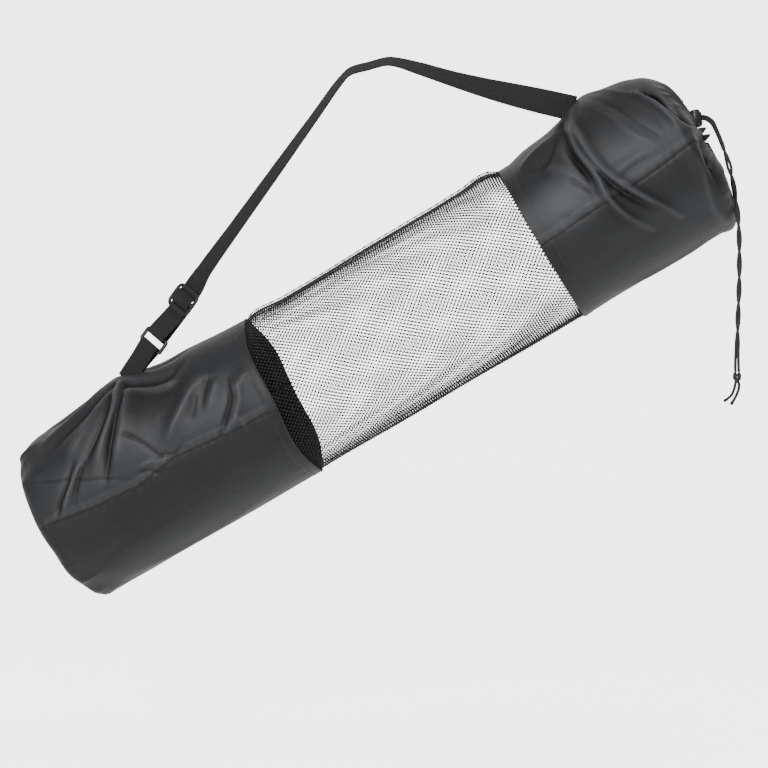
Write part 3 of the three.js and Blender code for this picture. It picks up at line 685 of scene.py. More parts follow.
LOWER_CREASES = make_creases((
    (3.4, 5.2, 0.4, 0.1, ((114, 14), (110, 38), (101, 49), (82, 63), (67, 75))),
    (-3.4, 5, 0.7, 0.1, ((111, 18), (103, 36), (89, 49), (73, 60), (61, 69))),
    (-3.4, 3.6, 0.6, 0.1, ((119, 24), (115, 38), (104, 51), (91, 65), (80, 77), (72, 86))),
    (2.4, 6, 0.4, 0.0, ((122, 36), (113, 52), (98, 68), (86, 80))),
    (2.2, 5.6, 0.5, 0.0, ((104, 26), (81, 40), (60, 51), (46, 58))),
    (-2.6, 5.2, 0.8, 0.1, ((108, 18), (85, 29), (63, 35), (36, 46))),
    (1.8, 6, 0.7, 0.0, ((108, 4), (80, 20), (47, 28), (18, 32))),
    (-2.2, 4.4, 0.8, 0.0, ((112, -4), (86, 10), (52, 16), (26, 14))),
    (-1.9, 2.8, 0.4, 0.2, ((55, 61), (41, 72), (28, 81), (19, 88))),
    (2.4, 3.6, 0.4, 0.1, ((58, 65), (45, 74), (34, 81), (25, 87))),
    (-1.6, 2.4, 0.5, 0.1, ((64, 64), (52, 73), (40, 84))),
    (-4, 4.2, 0.8, 0.1, ((122, 26), (134, 31), (150, 36), (164, 38), (179, 33))),
    (2.8, 4, 0.6, 0.1, ((127, 34), (144, 43), (161, 46), (178, 44))),
    (2.6, 6.4, 0.2, 0.1, ((208, 56), (185, 56), (167, 65), (147, 76), (134, 84))),
    (-1.2, 5, 0.3, 0.1, ((181, 60), (173, 70), (163, 78))),
    (-1, 3, 0.3, 0.1, ((199, 54), (187, 65), (177, 77))),
    (1.2, 3.6, 0.3, 0.1, ((204, 60), (193, 69), (182, 79))),
    (-1.8, 2.2, 0.3, 0.3, ((211, 64), (206, 77), (195, 86), (184, 93))),
    (1.3, 4, 0.2, 0.2, ((219, 68), (213, 80), (201, 90), (194, 95))),
    (-1.2, 1.8, 0.2, 0.8, ((101, 58), (112, 65), (120, 74), (126, 83), (129, 87))),
    (-1.4, 2, 0.4, 0.4, ((130, 86), (139, 89), (149, 88))),
    (1.3, 2, 0.2, 0.5, ((106, 85), (117, 86), (128, 90))),
    (-1.3, 1.8, 0.2, 0.5, ((103, 89), (113, 90), (121, 96))),
    (1.2, 2, 0.4, 0.4, ((189, 95), (199, 90), (206, 93), (204, 100))),
    (1.4, 6, 0.2, 0.3, ((206, 74), (222, 70), (232, 64))),
    (-0.7, 1.3, 0.3, 0.3, ((13, 57), (37, 66), (60, 75), (83, 84), (98, 91))),
    (-0.9, 10, 0.2, 0.2, ((17, 133), (57, 126), (109, 125), (170, 124))),
    (1, 16, 0.3, 0.3, ((30, 112), (90, 112), (160, 112))),
    (-2, 5, 0.7, 0.0, ((118, 0), (142, 12), (170, 16), (196, 10))),
    (1.8, 6, 0.5, 0.0, ((124, -14), (150, -10), (184, -16), (214, -12))),
    (3.8, 6, 0.6, 0.1, ((113, -10), (100, -44), (82, -70), (58, -88))),
    (-3.4, 4.5, 0.9, 0.1, ((112, -18), (106, -52), (94, -78), (72, -96))),
    (2.4, 6, 0.5, 0.1, ((118, -24), (122, -60), (112, -92), (100, -118))),
    (-4, 5, 0.8, 0.1, ((122, -18), (138, -32), (160, -42), (186, -44))),
    (2.6, 6, 0.2, 0.1, ((212, -60), (190, -72), (168, -88), (146, -98))),
    (-2.4, 4.5, 0.3, 0.1, ((218, -74), (202, -88), (188, -104))),
    (-2.2, 6, 0.7, 0.1, ((8, -40), (30, -58), (52, -66), (80, -68))),
    (1.8, 8, 0.5, 0.1, ((12, -120), (60, -128), (120, -132))),
    (-1.6, 7, 0.3, 0.3, ((50, -150), (110, -142), (190, -150))),
    (1.4, 9, 0.3, 0.3, ((40, 160), (110, 166), (180, 158))),
))

UPPER_CREASES = make_creases((
    (3.6, 3.4, 0.3, 0.35, ((576, 16), (571, 34), (570, 50), (570, 60), (572, 71),
     (576, 81), (583, 91), (591, 101), (601, 112), (609, 124))),
    (3.2, 3.2, 0.3, 0.3, ((568, 34), (564, 48), (563, 60), (565, 71),
     (566, 79), (565, 87), (567, 97), (572, 107), (584, 122))),
    (-4.2, 4.4, 0.4, 0.1, ((563, 22), (559, 38), (557, 52), (559, 66), (560, 76), (557, 85))),
    (-2.6, 3, 0.5, 0.0, ((570, 76), (574, 85), (579, 94), (586, 103), (594, 113))),
    (1.4, 4.6, 0.2, 0.3, ((512, 38), (528, 32), (544, 28), (556, 26))),
    (-2.2, 8, 0.5, 0.2, ((560, 22), (547, 40), (532, 50), (518, 46))),
    (1.8, 6.2, 0.2, 0.2, ((530, 52), (542, 58), (550, 70), (558, 84))),
    (-1.6, 3.2, 0.2, 0.1, ((544, 66), (552, 76), (559, 88))),
    (-0.8, 5, 0.3, 0.1, ((520, 86), (536, 92), (552, 95))),
    (0.7, 3.6, 0.7, 0.2, ((588, 4), (606, 15), (619, 32), (630, 42))),
    (-0.6, 2.8, 0.5, 0.0, ((590, 14), (606, 41), (616, 58), (625, 72), (632, 80))),
    (0.5, 3, 0.4, 0.0, ((586, 24), (601, 50), (611, 66), (620, 78), (624, 88))),
    (-0.4, 2.2, 0.3, 0.1, ((578, 76), (595, 75), (612, 75))),
    (0.4, 3, 0.3, 0.1, ((581, 80), (599, 78), (616, 79))),
    (-0.5, 2, 0.3, 0.3, ((580, 84), (599, 82), (617, 83))),
    (-5.6, 2.4, 0.9, 0.9, ((633, 40), (640, 48), (645, 59), (649, 68), (654, 74))),
    (2.4, 3.6, 0.6, 0.2, ((628, 38), (634, 48), (639, 60), (643, 71), (647, 82))),
    (2.2, 2.6, 0.9, 0.0, ((634, 42), (629, 39), (624, 36))),
    (-6, 4.6, 0.8, 0.1, ((657, 88), (655, 94), (652, 101), (650, 108), (647, 117))),
    (2.2, 5, 0.5, 0.2, ((647, 92), (643, 104), (638, 118), (636, 132), (640, 152))),
    (3, 5, 0.2, 0.1, ((656, 106), (653, 120), (650, 136))),
    (-0.9, 13, 0.3, 0.3, ((520, 128), (560, 126), (620, 128))),
    (1, 11, 0.3, 0.3, ((540, 112), (600, 116), (630, 118))),
    (4, 4.2, 0.4, 0.0, ((576, -14), (570, -36), (568, -60), (574, -84), (590, -106), (604, -124))),
    (-3.8, 4.4, 0.6, 0.1, ((562, -18), (560, -42), (562, -66), (560, -84))),
    (2.4, 4.6, 0.2, 0.0, ((544, -64), (554, -82), (564, -100), (580, -120))),
    (1.8, 4.4, 0.5, 0.1, ((590, -14), (606, -40), (618, -62), (628, -84))),
    (-1.8, 4, 0.5, 0.1, ((596, -10), (616, -32), (630, -52), (640, -74))),
    (-4.8, 4, 0.5, 0.3, ((632, -30), (640, -56), (645, -84), (642, -112))),
    (2.4, 4.6, 0.5, 0.3, ((626, -30), (634, -56), (639, -84), (636, -112))),
    (-1.6, 8, 0.3, 0.3, ((520, -140), (570, -150), (630, -146))),
    (1.6, 8, 0.3, 0.3, ((540, 164), (590, 172), (636, 166))),
))
CREASE_STEPS = 6
FOLD_GAIN = 1.2
FOLD_WIDTH = 0.78
CREST_BLURS = 14
CREST_DEPTH = 0.0026
CREASE_REACH = 4.0


def crease_heights(creases, along, angle):
    """Height of all creases at each place. A crease falls off over its half width, to a soft crest."""
    height = np.zeros(along.shape)
    for crease in creases:
        path = spline([(x, math.radians(turn) * TUBE_RADIUS) for x, turn in crease.path], CREASE_STEPS)
        middle = path[:, 1].mean() / TUBE_RADIUS
        around = (np.mod(angle - middle + math.pi, 2 * math.pi) - math.pi + middle) * TUBE_RADIUS
        width = FOLD_WIDTH * crease.width
        low, high = path.min(0) - CREASE_REACH * width, path.max(0) + CREASE_REACH * width
        near = (along > low[0]) & (along < high[0]) & (around > low[1]) & (around < high[1])
        place = np.stack([along[near], around[near]], axis=-1)
        best = np.full(len(place), 1e9)
        share = np.zeros(len(place))
        for k, (a, b) in enumerate(zip(path, path[1:])):
            run = b - a
            t = np.clip(((place - a) @ run) / max(run @ run, 1e-12), 0, 1)
            gap = np.linalg.norm(place - a - t[:, None] * run, axis=1)
            closer = gap < best
            best = np.where(closer, gap, best)
            share = np.where(closer, (k + t) / (len(path) - 1), share)
        soft = 0.16 * width
        away = (np.sqrt(best ** 2 + soft ** 2) - soft) / width
        strength = np.minimum(1, crease.start + (1 - crease.start) * smooth_step(share, 0, 0.25))
        strength *= 1 - (1 - crease.end) * smooth_step(share, 0.6, 1)
        height[near] += FOLD_GAIN * crease.height * strength * np.exp(-away ** 1.3)
    return height


def fold_crest(height):
    """How far each place stands over the cloth around it: 0.5 where level, 0 in a valley, 1 on a ridge. It
    becomes painted shade in the valleys and painted highlights on the ridges.
    """
    around = height
    for _ in range(CREST_BLURS):
        around = (np.roll(around, 1, 1) + 2 * around + np.roll(around, -1, 1)) / 4
        ends = np.vstack([around[:1], around, around[-1:]])
        around = (ends[:-2] + 2 * around + ends[2:]) / 4
    return np.clip(0.5 + (height - around) / CREST_DEPTH, 0, 1)


# Painted highlights where the cloth is pulled taut and shines, and painted shade where the gain is negative:
# distance along the bag in metres, angle from the top towards the front in degrees, half size along in metres
# and around in degrees, and gain.
Patch = namedtuple("Patch", "along turn long wide gain")
PAINTED_LIGHT_PATCHES = (
    Patch(0.530, 80, 0.024, 15, 0.40), Patch(0.600, 74, 0.026, 13, 0.26),
    Patch(0.605, 30, 0.026, 16, -0.2), Patch(0.548, 40, 0.020, 16, -0.16),
    Patch(0.120, 74, 0.024, 12, 0.16), Patch(0.182, 76, 0.026, 10, 0.14),
    Patch(0.060, 62, 0.024, 10, 0.10), Patch(0.150, 48, 0.024, 12, -0.10),
    Patch(0.090, 120, 0.080, 16, -0.12), Patch(0.605, 116, 0.050, 24, 0.16),
    Patch(0.530, -80, 0.024, 16, 0.3), Patch(0.120, -76, 0.030, 12, 0.2))
# How much lighter the cloth is painted above the front seam and darker below it: painted light and shade.
SEAM_PAINTED_LIGHT = 0.16


def painted_shine_and_shade(along, angle, seam):
    """Painted light and shade of the cloth: the patches, a painted highlight on the side of the front seam
    that faces up, and painted shade on the side below it.
    """
    turn = np.degrees(np.mod(angle + math.pi, 2 * math.pi) - math.pi)
    shine = np.zeros(along.shape)
    for patch in PAINTED_LIGHT_PATCHES:
        near = ((along - patch.along) / patch.long) ** 2 + ((turn - patch.turn) / patch.wide) ** 2
        shine += patch.gain * np.exp(-near)
    below = smooth_step(turn, seam - 1, seam + 1) * (1 - smooth_step(turn, seam + 18, seam + 40))
    above = smooth_step(turn, seam - 45, seam - 12) * (1 - smooth_step(turn, seam - 1, seam + 1))
    return shine + SEAM_PAINTED_LIGHT * (0.5 * above - below)


# Stores the painted light and shade that the cloth's colour is read from.
def set_painted_light(piece, painted_light):
    values = piece.data.attributes.new("painted_light", "FLOAT", "POINT")
    values.data.foreach_set("value", np.asarray(painted_light, np.float32).ravel())


def lay_cloth(base, height):
    """A grid of points, closed around, moved along its own outward normals."""
    along = np.gradient(base, axis=0)
    around = np.roll(base, -1, axis=1) - np.roll(base, 1, axis=1)
    normal = np.cross(around, along)
    normal /= np.maximum(np.linalg.norm(normal, axis=2), 1e-9)[..., None]
    middle = base.mean(axis=1, keepdims=True)
    if ((base - middle) * normal).sum() < 0:
        normal = -normal
    return base + normal * height[..., None]


FRONT_CLOSER = 0.36
FRONT_MIDDLE = math.radians(65)


def close_columns(columns):
    """Angles around the bag, closer together at the front."""
    turn = np.arange(columns) * 2 * math.pi / columns
    return turn - FRONT_CLOSER * (np.sin(turn - FRONT_MIDDLE) + math.sin(FRONT_MIDDLE))


def panel_grid(start, length, sections, rows, columns, end_share, row_shares=((0, 0), (1, 1))):
    """Places and plain surface of a panel: rows along it, columns around it."""
    steps, shares = np.array(row_shares).T
    share = end_share * np.interp(np.linspace(0, 1, rows), steps, shares)[:, None] * np.ones(columns)
    angle = np.ones((rows, 1)) * close_columns(columns)
    places, up, side, down = np.array(sections).T
    reach = [smooth_table(share, places, column) for column in (up, side, down)]
    return share, start + share * length, angle, section_radius(*reach, angle)


HEM_WIDTH = 0.009
HEM_RISE = 0.00025
HEM_DIP = 0.0004
FAR_SEAM = math.radians(-95)

# Distance along the bag in metres, and the front seam's angle from the top in degrees
FRONT_SEAM = (
    (0, 86), (0.024, 89), (0.058, 93), (0.098, 95.5), (0.138, 91.5), (0.171, 94), (0.204, 97), (0.232, 97),
    (0.5, 95), (0.56, 92), (0.585, 92), (0.618, 90), (0.652, 87))


def front_seam(along):
    places, turns = np.array(FRONT_SEAM).T
    return np.interp(along, places, turns)


def gather(angle, count, seed):
    """Uneven pleats from -1 to 1 around the bag."""
    turn = angle + 0.10 * np.sin(3 * angle + seed) + 0.06 * np.sin(7 * angle + 2 * seed)
    wave = 1 - 2 * np.abs(np.sin(count * turn / 2)) ** 0.8
    return wave * (0.75 + 0.25 * np.sin(2 * angle + seed))


def seam_line(along, angle, seam, ends, depth=0.0009, width=0.0011):
    """The dip of a seam that runs along the bag, with its allowance raised on one side."""
    away = (np.mod(angle - seam + math.pi, 2 * math.pi) - math.pi) * TUBE_RADIUS
    fade = smooth_step(along, ends[0], ends[0] + 0.006) * (1 - smooth_step(along, ends[1] - 0.006, ends[1]))
    dip = -depth * np.exp(-(away / width) ** 2)
    raised = 0.0004 * (smooth_step(away, -0.0075, -0.0065) - smooth_step(away, -0.0008, 0.0002))
    pucker = 0.00016 * np.sin(along / 0.0016 + 2.4 * np.sin(along / 0.009)) * np.exp(-(away / 0.005) ** 2)
    return fade * (dip + raised + pucker)


HEM_FLANK = 0.0008
HEM_DIP_WIDTH = 0.0009


def seams_and_hem(height, along, angle, hem, ends):
    """Adds both side seams and the hem to a panel's folds, and works out the painted light and shade of its
    folds, patches and front seam. The painted light is read before the hem is added.
    """
    height = height + seam_line(along, angle, np.radians(front_seam(along)), ends)
    height = height + seam_line(along, angle, FAR_SEAM, ends)
    painted_light = fold_crest(height) + painted_shine_and_shade(along, angle, front_seam(along))
    height = height + HEM_RISE * (1 - smooth_step(hem, HEM_WIDTH - HEM_FLANK, HEM_WIDTH + HEM_FLANK))
    height = height - HEM_DIP * np.exp(-((hem - HEM_WIDTH) / HEM_DIP_WIDTH) ** 2)
    return height, painted_light


def finish_panel(name, points, angle, v, painted_light, node):
    u = np.append(angle[0], angle[0, 0] + 2 * math.pi) * TUBE_RADIUS
    piece = grid_piece(name, points, u, v, flip=True)
    set_painted_light(piece, painted_light)
    give_wall(piece, CLOTH)
    finish_piece(piece, "bag", NYLON, "fabric", node)


LOWER_HEM = 0.006
LOWER_ROWS, LOWER_COLUMNS = 168, 288
UPPER_ROWS, UPPER_COLUMNS = 160, 302
UPPER_ROW_SHARES = ((0, 0), (0.45, 0.6), (1, 1))


def lower_hem_end(angle):
    """How far the lower panel's hem reaches: it is pulled out at the front near the top."""
    return LOWER_HEM * np.cos(angle - math.radians(35)) + 0.0015 * np.sin(5 * angle)


def base_edge(angle):
    """How far the edge round the base stands out past it: most at the front below, in uneven scallops."""
    low = np.exp(-((np.mod(angle + 1, 2 * math.pi) - 1 - math.radians(128)) / 0.75) ** 2)
    return 0.0018 * low * (0.75 + 0.5 * np.sin(9 * angle + 0.8)) - 0.0012 * np.exp(-(angle / 0.5) ** 2)


def make_lower_panel():
    share, along, angle, radius = panel_grid(0, LOWER_LENGTH, LOWER_SECTIONS, LOWER_ROWS, LOWER_COLUMNS, 1)
    along = along + lower_hem_end(angle) * smooth_step(share, 0.55, 1)
    along = along - base_edge(angle) * (1 - smooth_step(share, 0, 0.07))
    hem = LOWER_LENGTH + lower_hem_end(angle) - along
    height = crease_heights(LOWER_CREASES, along, angle) * smooth_step(hem, 0.001, 0.014)
    height *= smooth_step(along, 0, 0.010)
    height, painted_light = seams_and_hem(height, along, angle, hem, (0.004, LOWER_LENGTH))
    edge = smooth_step(along, 0, 0.004)
    height += 0.0021 * gather(angle, 13, 0.7) * edge * (1 - smooth_step(along, 0.003, 0.036))
    height += 0.0007 * gather(angle, 41, 1.9) * edge * (1 - smooth_step(along, 0.002, 0.016))
    behind_hem = smooth_step(hem, 0.004, HEM_WIDTH)
    height += 0.0002 * gather(angle, 62, 2.1) * behind_hem * (1 - smooth_step(hem, 0.010, 0.024))
    points = lay_cloth(on_bag(along, angle, radius), height)
    finish_panel("lower_cloth", points, angle, np.linspace(0, LOWER_LENGTH, LOWER_ROWS), painted_light, "lower_panel")
    return points


def make_base():
    """Round base, slightly domed, with its seam rolled in at the edge."""
    rows, columns = 24, 160
    share = np.linspace(0, 1, rows)[:, None] * np.ones(columns)
    angle = np.ones((rows, 1)) * np.arange(columns) * 2 * math.pi / columns
    dome = 0.0022 * (1 - share ** 2) + 0.0007 * gather(angle, 26, 1.3) * smooth_step(share, 0.75, 0.96)
    dip = 0.0010 * smooth_step(share, 0.95, 1)
    points = on_bag(0.0032 - dome + dip, angle, np.maximum(share, 0.002) * (BASE_RADIUS + 0.0010))
    u = np.arange(columns + 1) * 2 * math.pi * BASE_RADIUS / columns
    v = np.linspace(0, BASE_RADIUS, rows)
    piece = grid_piece("base_cloth", points, u, v)
    set_painted_light(piece, np.full(rows * columns, 0.5))
    close_centre(piece)
    give_wall(piece, CLOTH)
    finish_piece(piece, "bag", NYLON, "fabric", "base_panel")


def close_centre(piece):
    """Merges the smallest ring of a disc into one point, and faces the disc away from the bag."""
    with mesh_edit(piece) as made:
        bmesh.ops.remove_doubles(made, verts=made.verts, dist=0.0004)
        made.normal_update()
        outward = Vector(-AXIS)
        if sum(face.normal.dot(outward) * face.calc_area() for face in made.faces) < 0:
            bmesh.ops.reverse_faces(made, faces=made.faces)
    piece.data.shade_smooth()


UPPER_SEAM_ENDS = (UPPER_START, UPPER_START + UPPER_LENGTH * 0.93)


def make_upper_panel():
    share, along, angle, radius = panel_grid(UPPER_START, UPPER_LENGTH, UPPER_SECTIONS, UPPER_ROWS,
                                             UPPER_COLUMNS, MOUTH_ALONG, UPPER_ROW_SHARES)
    drawn = smooth_step(share, 0.86, MOUTH_ALONG)
    hem = along - UPPER_START
    height = crease_heights(UPPER_CREASES, along, angle) * smooth_step(hem, 0.001, 0.012)
    height *= 1 - 0.7 * smooth_step(share, 0.95, MOUTH_ALONG)
    height, painted_light = seams_and_hem(height, along, angle, hem, UPPER_SEAM_ENDS)
    height += 0.0014 * gather(angle, 36, 0.4) * drawn
    points = lay_cloth(on_bag(along, angle, radius), height)
    finish_panel("upper_cloth", points, angle, share[:, 0] * UPPER_LENGTH, painted_light, "upper_panel")
    return points


CHANNEL_ROOT = 0.008
CHANNEL_REACH = 0.004
CHANNEL_WALL = 0.0028
TOOTH_TURNS = (73, 84)
TOOTH_HALF = 5.5
TOOTH_REACH = 0.0069
TOOTH_ROOT = 0.0055
DRAWN_BACK = 0.003
DRAWN_IN = 0.0022


def make_channel():
    """The gathered tube of cloth that holds the drawstring. Its free edge is toothed next to the lock."""
    around, columns = 18, 372
    turn = np.arange(around) * 2 * math.pi / around
    angle = np.ones((around, 1)) * close_columns(columns)
    edge = section_radius(*MOUTH_SHARES, angle)
    turned = np.degrees(angle)
    teeth = [np.clip(1 - (np.abs(turned - middle) / TOOTH_HALF) ** 1.7, 0, 1) for middle in TOOTH_TURNS]
    tooth = np.maximum(*teeth)
    near_lock = smooth_step(turned, TOOTH_TURNS[0] - 9, TOOTH_TURNS[0] - 5)
    near_lock = near_lock * (1 - smooth_step(turned, TOOTH_TURNS[1] + 5, TOOTH_TURNS[1] + 9))
    pleat = gather(angle, 36, 0.4)
    long_half = (CHANNEL_ROOT + CHANNEL_REACH) / 2
    out = np.cos(turn)[:, None]
    up = np.sin(turn)[:, None]
    puff = CHANNEL_WALL / 2 * (1 + 0.2 * pleat)
    free = smooth_step(out, -0.2, 1)
    along = MOUTH_END + (CHANNEL_REACH - CHANNEL_ROOT) / 2 + long_half * out
    along = along + (TOOTH_REACH * tooth - TOOTH_ROOT * near_lock) * free
    along = along - DRAWN_BACK * (1 - near_lock) * free
    radius = edge - 0.0004 - CHANNEL_WALL / 2 + puff * up
    radius = radius - DRAWN_IN * (1 - near_lock) * smooth_step(out, 0, 1)
    points = on_bag(along, angle, radius)
    u = np.append(angle[0], angle[0, 0] + 2 * math.pi) * 0.035
    v = np.arange(around + 1) * 2 * (CHANNEL_ROOT + CHANNEL_REACH) / around
    piece = grid_piece("gathered_channel", points, u, v, True, True)
    # Painted light on the pleats: lighter on their ridges, painted shade in their valleys.
    set_painted_light(piece, 0.5 + 0.3 * pleat)
    face_outwards(piece)
    finish_piece(piece, "bag", NYLON, "fabric", "drawstring_channel")


lower_points = make_lower_panel()
upper_points = make_upper_panel()
make_base()
make_channel()


# Net window

NET_RADIUS = TUBE_RADIUS - 0.0022
NET_COLUMNS = 122
NET_ROWS = 122
NET_YARN_RADIUS = 0.00014
NET_KNOT_RADIUS = 0.00098
NET_FAR_KNOT_RADIUS = 0.0007
NET_LAP = 0.006


def net_surface(share, angle):
    """The net between its two hems: pulled straight, with a slack puff over the top at both ends."""
    start = LOWER_LENGTH + lower_hem_end(angle) - NET_LAP
    end = UPPER_START + NET_LAP
    along = start + (end - start) * share
    from_end = np.minimum(share, 1 - share) * (end - start)
    puff = smooth_step(from_end, 0.004, 0.016) * (1 - smooth_step(from_end, 0.018, 0.046))
    top = np.maximum(np.cos(angle), 0) ** 2
    slack = 0.0003 * np.sin(9 * angle + 14 * share) * smooth_step(from_end, 0.006, 0.03)
    drawn_in = 0.0042 * top * smooth_step(share, 0.9, 1) + 0.0010 * top * (1 - smooth_step(share, 0, 0.08))
    return on_bag(along, angle, NET_RADIUS + 0.0022 * puff * top + slack - drawn_in)


def net_lattice(name, first, last):
    """Knots of the net as points, and yarns as edges, between two columns."""
    points, edges, known = [], [], {}

    def knot(row, column):
        key = (row, column)
        if key not in known:
            known[key] = len(points)
            angle = (column + 0.5 * (row % 2)) * 2 * math.pi / NET_COLUMNS
            points.append(net_surface(np.array(row / NET_ROWS), np.array(angle)))
        return known[key]

    for row in range(NET_ROWS):
        for column in range(first, last):
            aside = column + 1 if row % 2 else column - 1
            edges.append((knot(row, column), knot(row + 1, column)))
            edges.append((knot(row, column), knot(row + 1, aside)))
    return edge_piece(name, points, edges)


def new_geometry_tree(name, inputs):
    """A geometry node tree that takes a mesh and named values."""
    tree = bpy.data.node_groups.new(name, "GeometryNodeTree")
    tree.interface.new_socket(name="Geometry", in_out="INPUT", socket_type="NodeSocketGeometry")
    for label, kind, value in inputs:
        socket = tree.interface.new_socket(name=label, in_out="INPUT", socket_type=kind)
        if value is not None:
            socket.default_value = value
    tree.interface.new_socket(name="Geometry", in_out="OUTPUT", socket_type="NodeSocketGeometry")
    return tree, tree.nodes.new("NodeGroupInput"), tree.nodes.new("NodeGroupOutput")


def finish_tree(tree, geometry, start, end):
    """Ends a tree in Realize Instances and Set Material."""
    realize = tree.nodes.new("GeometryNodeRealizeInstances")
    paint = tree.nodes.new("GeometryNodeSetMaterial")
    tree.links.new(geometry, realize.inputs["Geometry"])
    tree.links.new(realize.outputs["Geometry"], paint.inputs["Geometry"])
    tree.links.new(start.outputs["Finish"], paint.inputs["Material"])
    tree.links.new(paint.outputs["Geometry"], end.inputs["Geometry"])


def apply_tree(piece, tree, name, **values):
    """Runs a tree on a piece with named values, and returns its result as a plain mesh object."""
    grown = piece.modifiers.new("grow", "NODES")
    grown.node_group = tree
    for item in tree.interface.items_tree:
        if item.item_type == "SOCKET" and item.in_out == "INPUT" and item.name in values:
            grown[item.identifier] = values[item.name]
    piece.update_tag()
    depsgraph = bpy.context.evaluated_depsgraph_get()
    mesh = bpy.data.meshes.new_from_object(piece.evaluated_get(depsgraph))
    bpy.data.objects.remove(piece)
    mesh.name = name
    return add_object(name, mesh)


def make_net_tree():
    """Yarns along every edge, and a small knot at every point."""
    tree, start, end = new_geometry_tree("net of knots and yarns", [
        ("Yarn radius", FLOAT, NET_YARN_RADIUS), ("Knot radius", FLOAT, NET_KNOT_RADIUS),
        ("Finish", "NodeSocketMaterial", None)])
    lattice = start.outputs["Geometry"]
    curves = add_node(tree, "GeometryNodeMeshToCurve", Mesh=lattice)
    profile = add_node(tree, "GeometryNodeCurvePrimitiveCircle", Resolution=3,
                       Radius=start.outputs["Yarn radius"])
    yarns = add_node(tree, "GeometryNodeCurveToMesh", Curve=curves.outputs["Curve"],
                     Profile_Curve=profile.outputs["Curve"])
    knot = add_node(tree, "GeometryNodeMeshUVSphere", Segments=4, Rings=3,
                    Radius=start.outputs["Knot radius"])
    knots = add_node(tree, "GeometryNodeInstanceOnPoints", Points=lattice, Instance=knot.outputs["Mesh"])
    both = add_node(tree, "GeometryNodeJoinGeometry", Geometry=knots.outputs["Instances"])
    tree.links.new(yarns.outputs["Mesh"], both.inputs["Geometry"])
    finish_tree(tree, both.outputs["Geometry"], start, end)
    return tree


def round_profile(sides):
    return [(math.cos(t), math.sin(t)) for t in np.linspace(0, 2 * math.pi, sides, endpoint=False)]


ROUND_PROFILE = round_profile(8)
HEM_ROLL_RADIUS = 0.0007
TUCK_ANGLES = (3, 24)
TUCK_RADIUS = 0.00055


def tuck_path(turn, phase):
    """Where the slack is folded: a wavy line along the top of the net."""
    share = np.linspace(0.01, 0.99, 120)
    wander = 1.1 * np.sin(17 * share + phase) + 0.6 * np.sin(41 * share + 2 * phase)
    angle = np.radians(turn + wander)
    ends = smooth_step(np.minimum(share, 1 - share), 0, 0.06)
    path = net_surface(share, angle * (0.6 + 0.4 * ends))
    out = on_bag(0, angle, 1.0) - BASE
    return path + (0.0004 + 0.0014 * ends)[:, None] * out


def make_net():
    tree = make_net_tree()
    quarter = NET_COLUMNS // 4
    bounds = (0, quarter, 2 * quarter, 3 * quarter, NET_COLUMNS)
    names = ("net_front", "net_under", "net_back", "net_over")
    knots = (NET_KNOT_RADIUS, NET_KNOT_RADIUS, NET_FAR_KNOT_RADIUS, NET_FAR_KNOT_RADIUS)
    for name, first, last, knot in zip(names, bounds, bounds[1:], knots):
        lattice = net_lattice(name + "_lattice", first, last)
        net = apply_tree(lattice, tree, name, **{"Finish": NET_YARN, "Knot radius": knot})
        finish_piece(net, "bag", NET_YARN, "mesh_cloth", "net_panel")
    tucks = []
    for k, turn in enumerate(TUCK_ANGLES):
        path = tuck_path(turn, 1.7 * k)
        sides, tops = tube_frames(path)
        plump = 1 + 0.35 * np.sin(np.arange(len(path)) * 1.9 + k)[:, None]
        sides, tops = (ways * TUCK_RADIUS * plump for ways in (sides, tops))
        tucks.append(sweep("tuck", path, sides, tops, ROUND_PROFILE))
    finish_piece(join_pieces("net_tucks", tucks), "bag", NET_YARN, "mesh_cloth")
    roll = lower_points[-1] + 0.0003 * AXIS
    finish_piece(edge_roll("lower_hem_roll", roll), "bag", NET_YARN, "mesh_cloth")


def edge_roll(name, path):
    """The net's rolled edge along a hem: a closed round of small section."""
    middle = path.mean(axis=0)
    out = path - middle
    out -= (out @ AXIS)[:, None] * AXIS
    out /= np.linalg.norm(out, axis=1)[:, None]
    lengthwise = np.tile(AXIS, (len(path), 1)) * HEM_ROLL_RADIUS
    return sweep(name, path, out * HEM_ROLL_RADIUS, lengthwise, ROUND_PROFILE, closed=True)


make_net()


# Webbing: strap and anchor

RING_PLACE = 0.038
RING_LENGTH = 0.029
RING_HEIGHT = 0.0155
RING_BAR = 0.003
SLIDER_PLACE = 0.083
SLIDER_LENGTH = 0.028
SLIDER_HEIGHT = 0.024
SLIDER_BAR = 0.0035
SLIDER_CENTRE_BAR = 0.004
SLIDER_THICK = 0.0024
CLEARANCE = 0.0003
SEAT_GAP = -0.0055
GRIP_SPAN = 0.050
HARDWARE_TURN = 27
GRIP_TURN = 63
ANCHOR_SHARES = (0.487, 0.578)
STRAP_SHARES = (0.4185, 0.5327)
STRAP_END_TURN = math.radians(7)
STRAP_SINK = 0.0035
GRIP_BEND = ((-0.46, -0.166), (-0.3, -0.02), (0.03, 0.07), (0.36, 0.145), (0.56, 0.12))
LEFT_TURNS = ((0.36, 42), (0.5, 49), (0.7, 54), (0.88, 60))
RIGHT_LEG = (
    (0.12, 0.0003, 57), (0.3, 0.0016, 50), (0.5, 0.0021, 36), (0.68, 0.0016, 20), (0.84, 0.0008, 8))
LAYER = WEBBING_THICK + CLEARANCE


def unit(vector):
    return vector / np.linalg.norm(vector)


def webbing_across(along, turn):
    """The way across webbing that runs along a direction, turned in degrees from facing the front."""
    above = unit(np.cross(FRONT, along))
    level = np.cross(along, above)
    angle = math.radians(turn)
    return -math.cos(angle) * above + math.sin(angle) * level


def seat_point(sections, start, length, share, turn):
    places, up, side, down = np.array(sections).T
    radius = section_radius(*(np.interp(share, places, reach) for reach in (up, side, down)), np.array(turn))
    return on_bag(start + share * length, turn, radius)


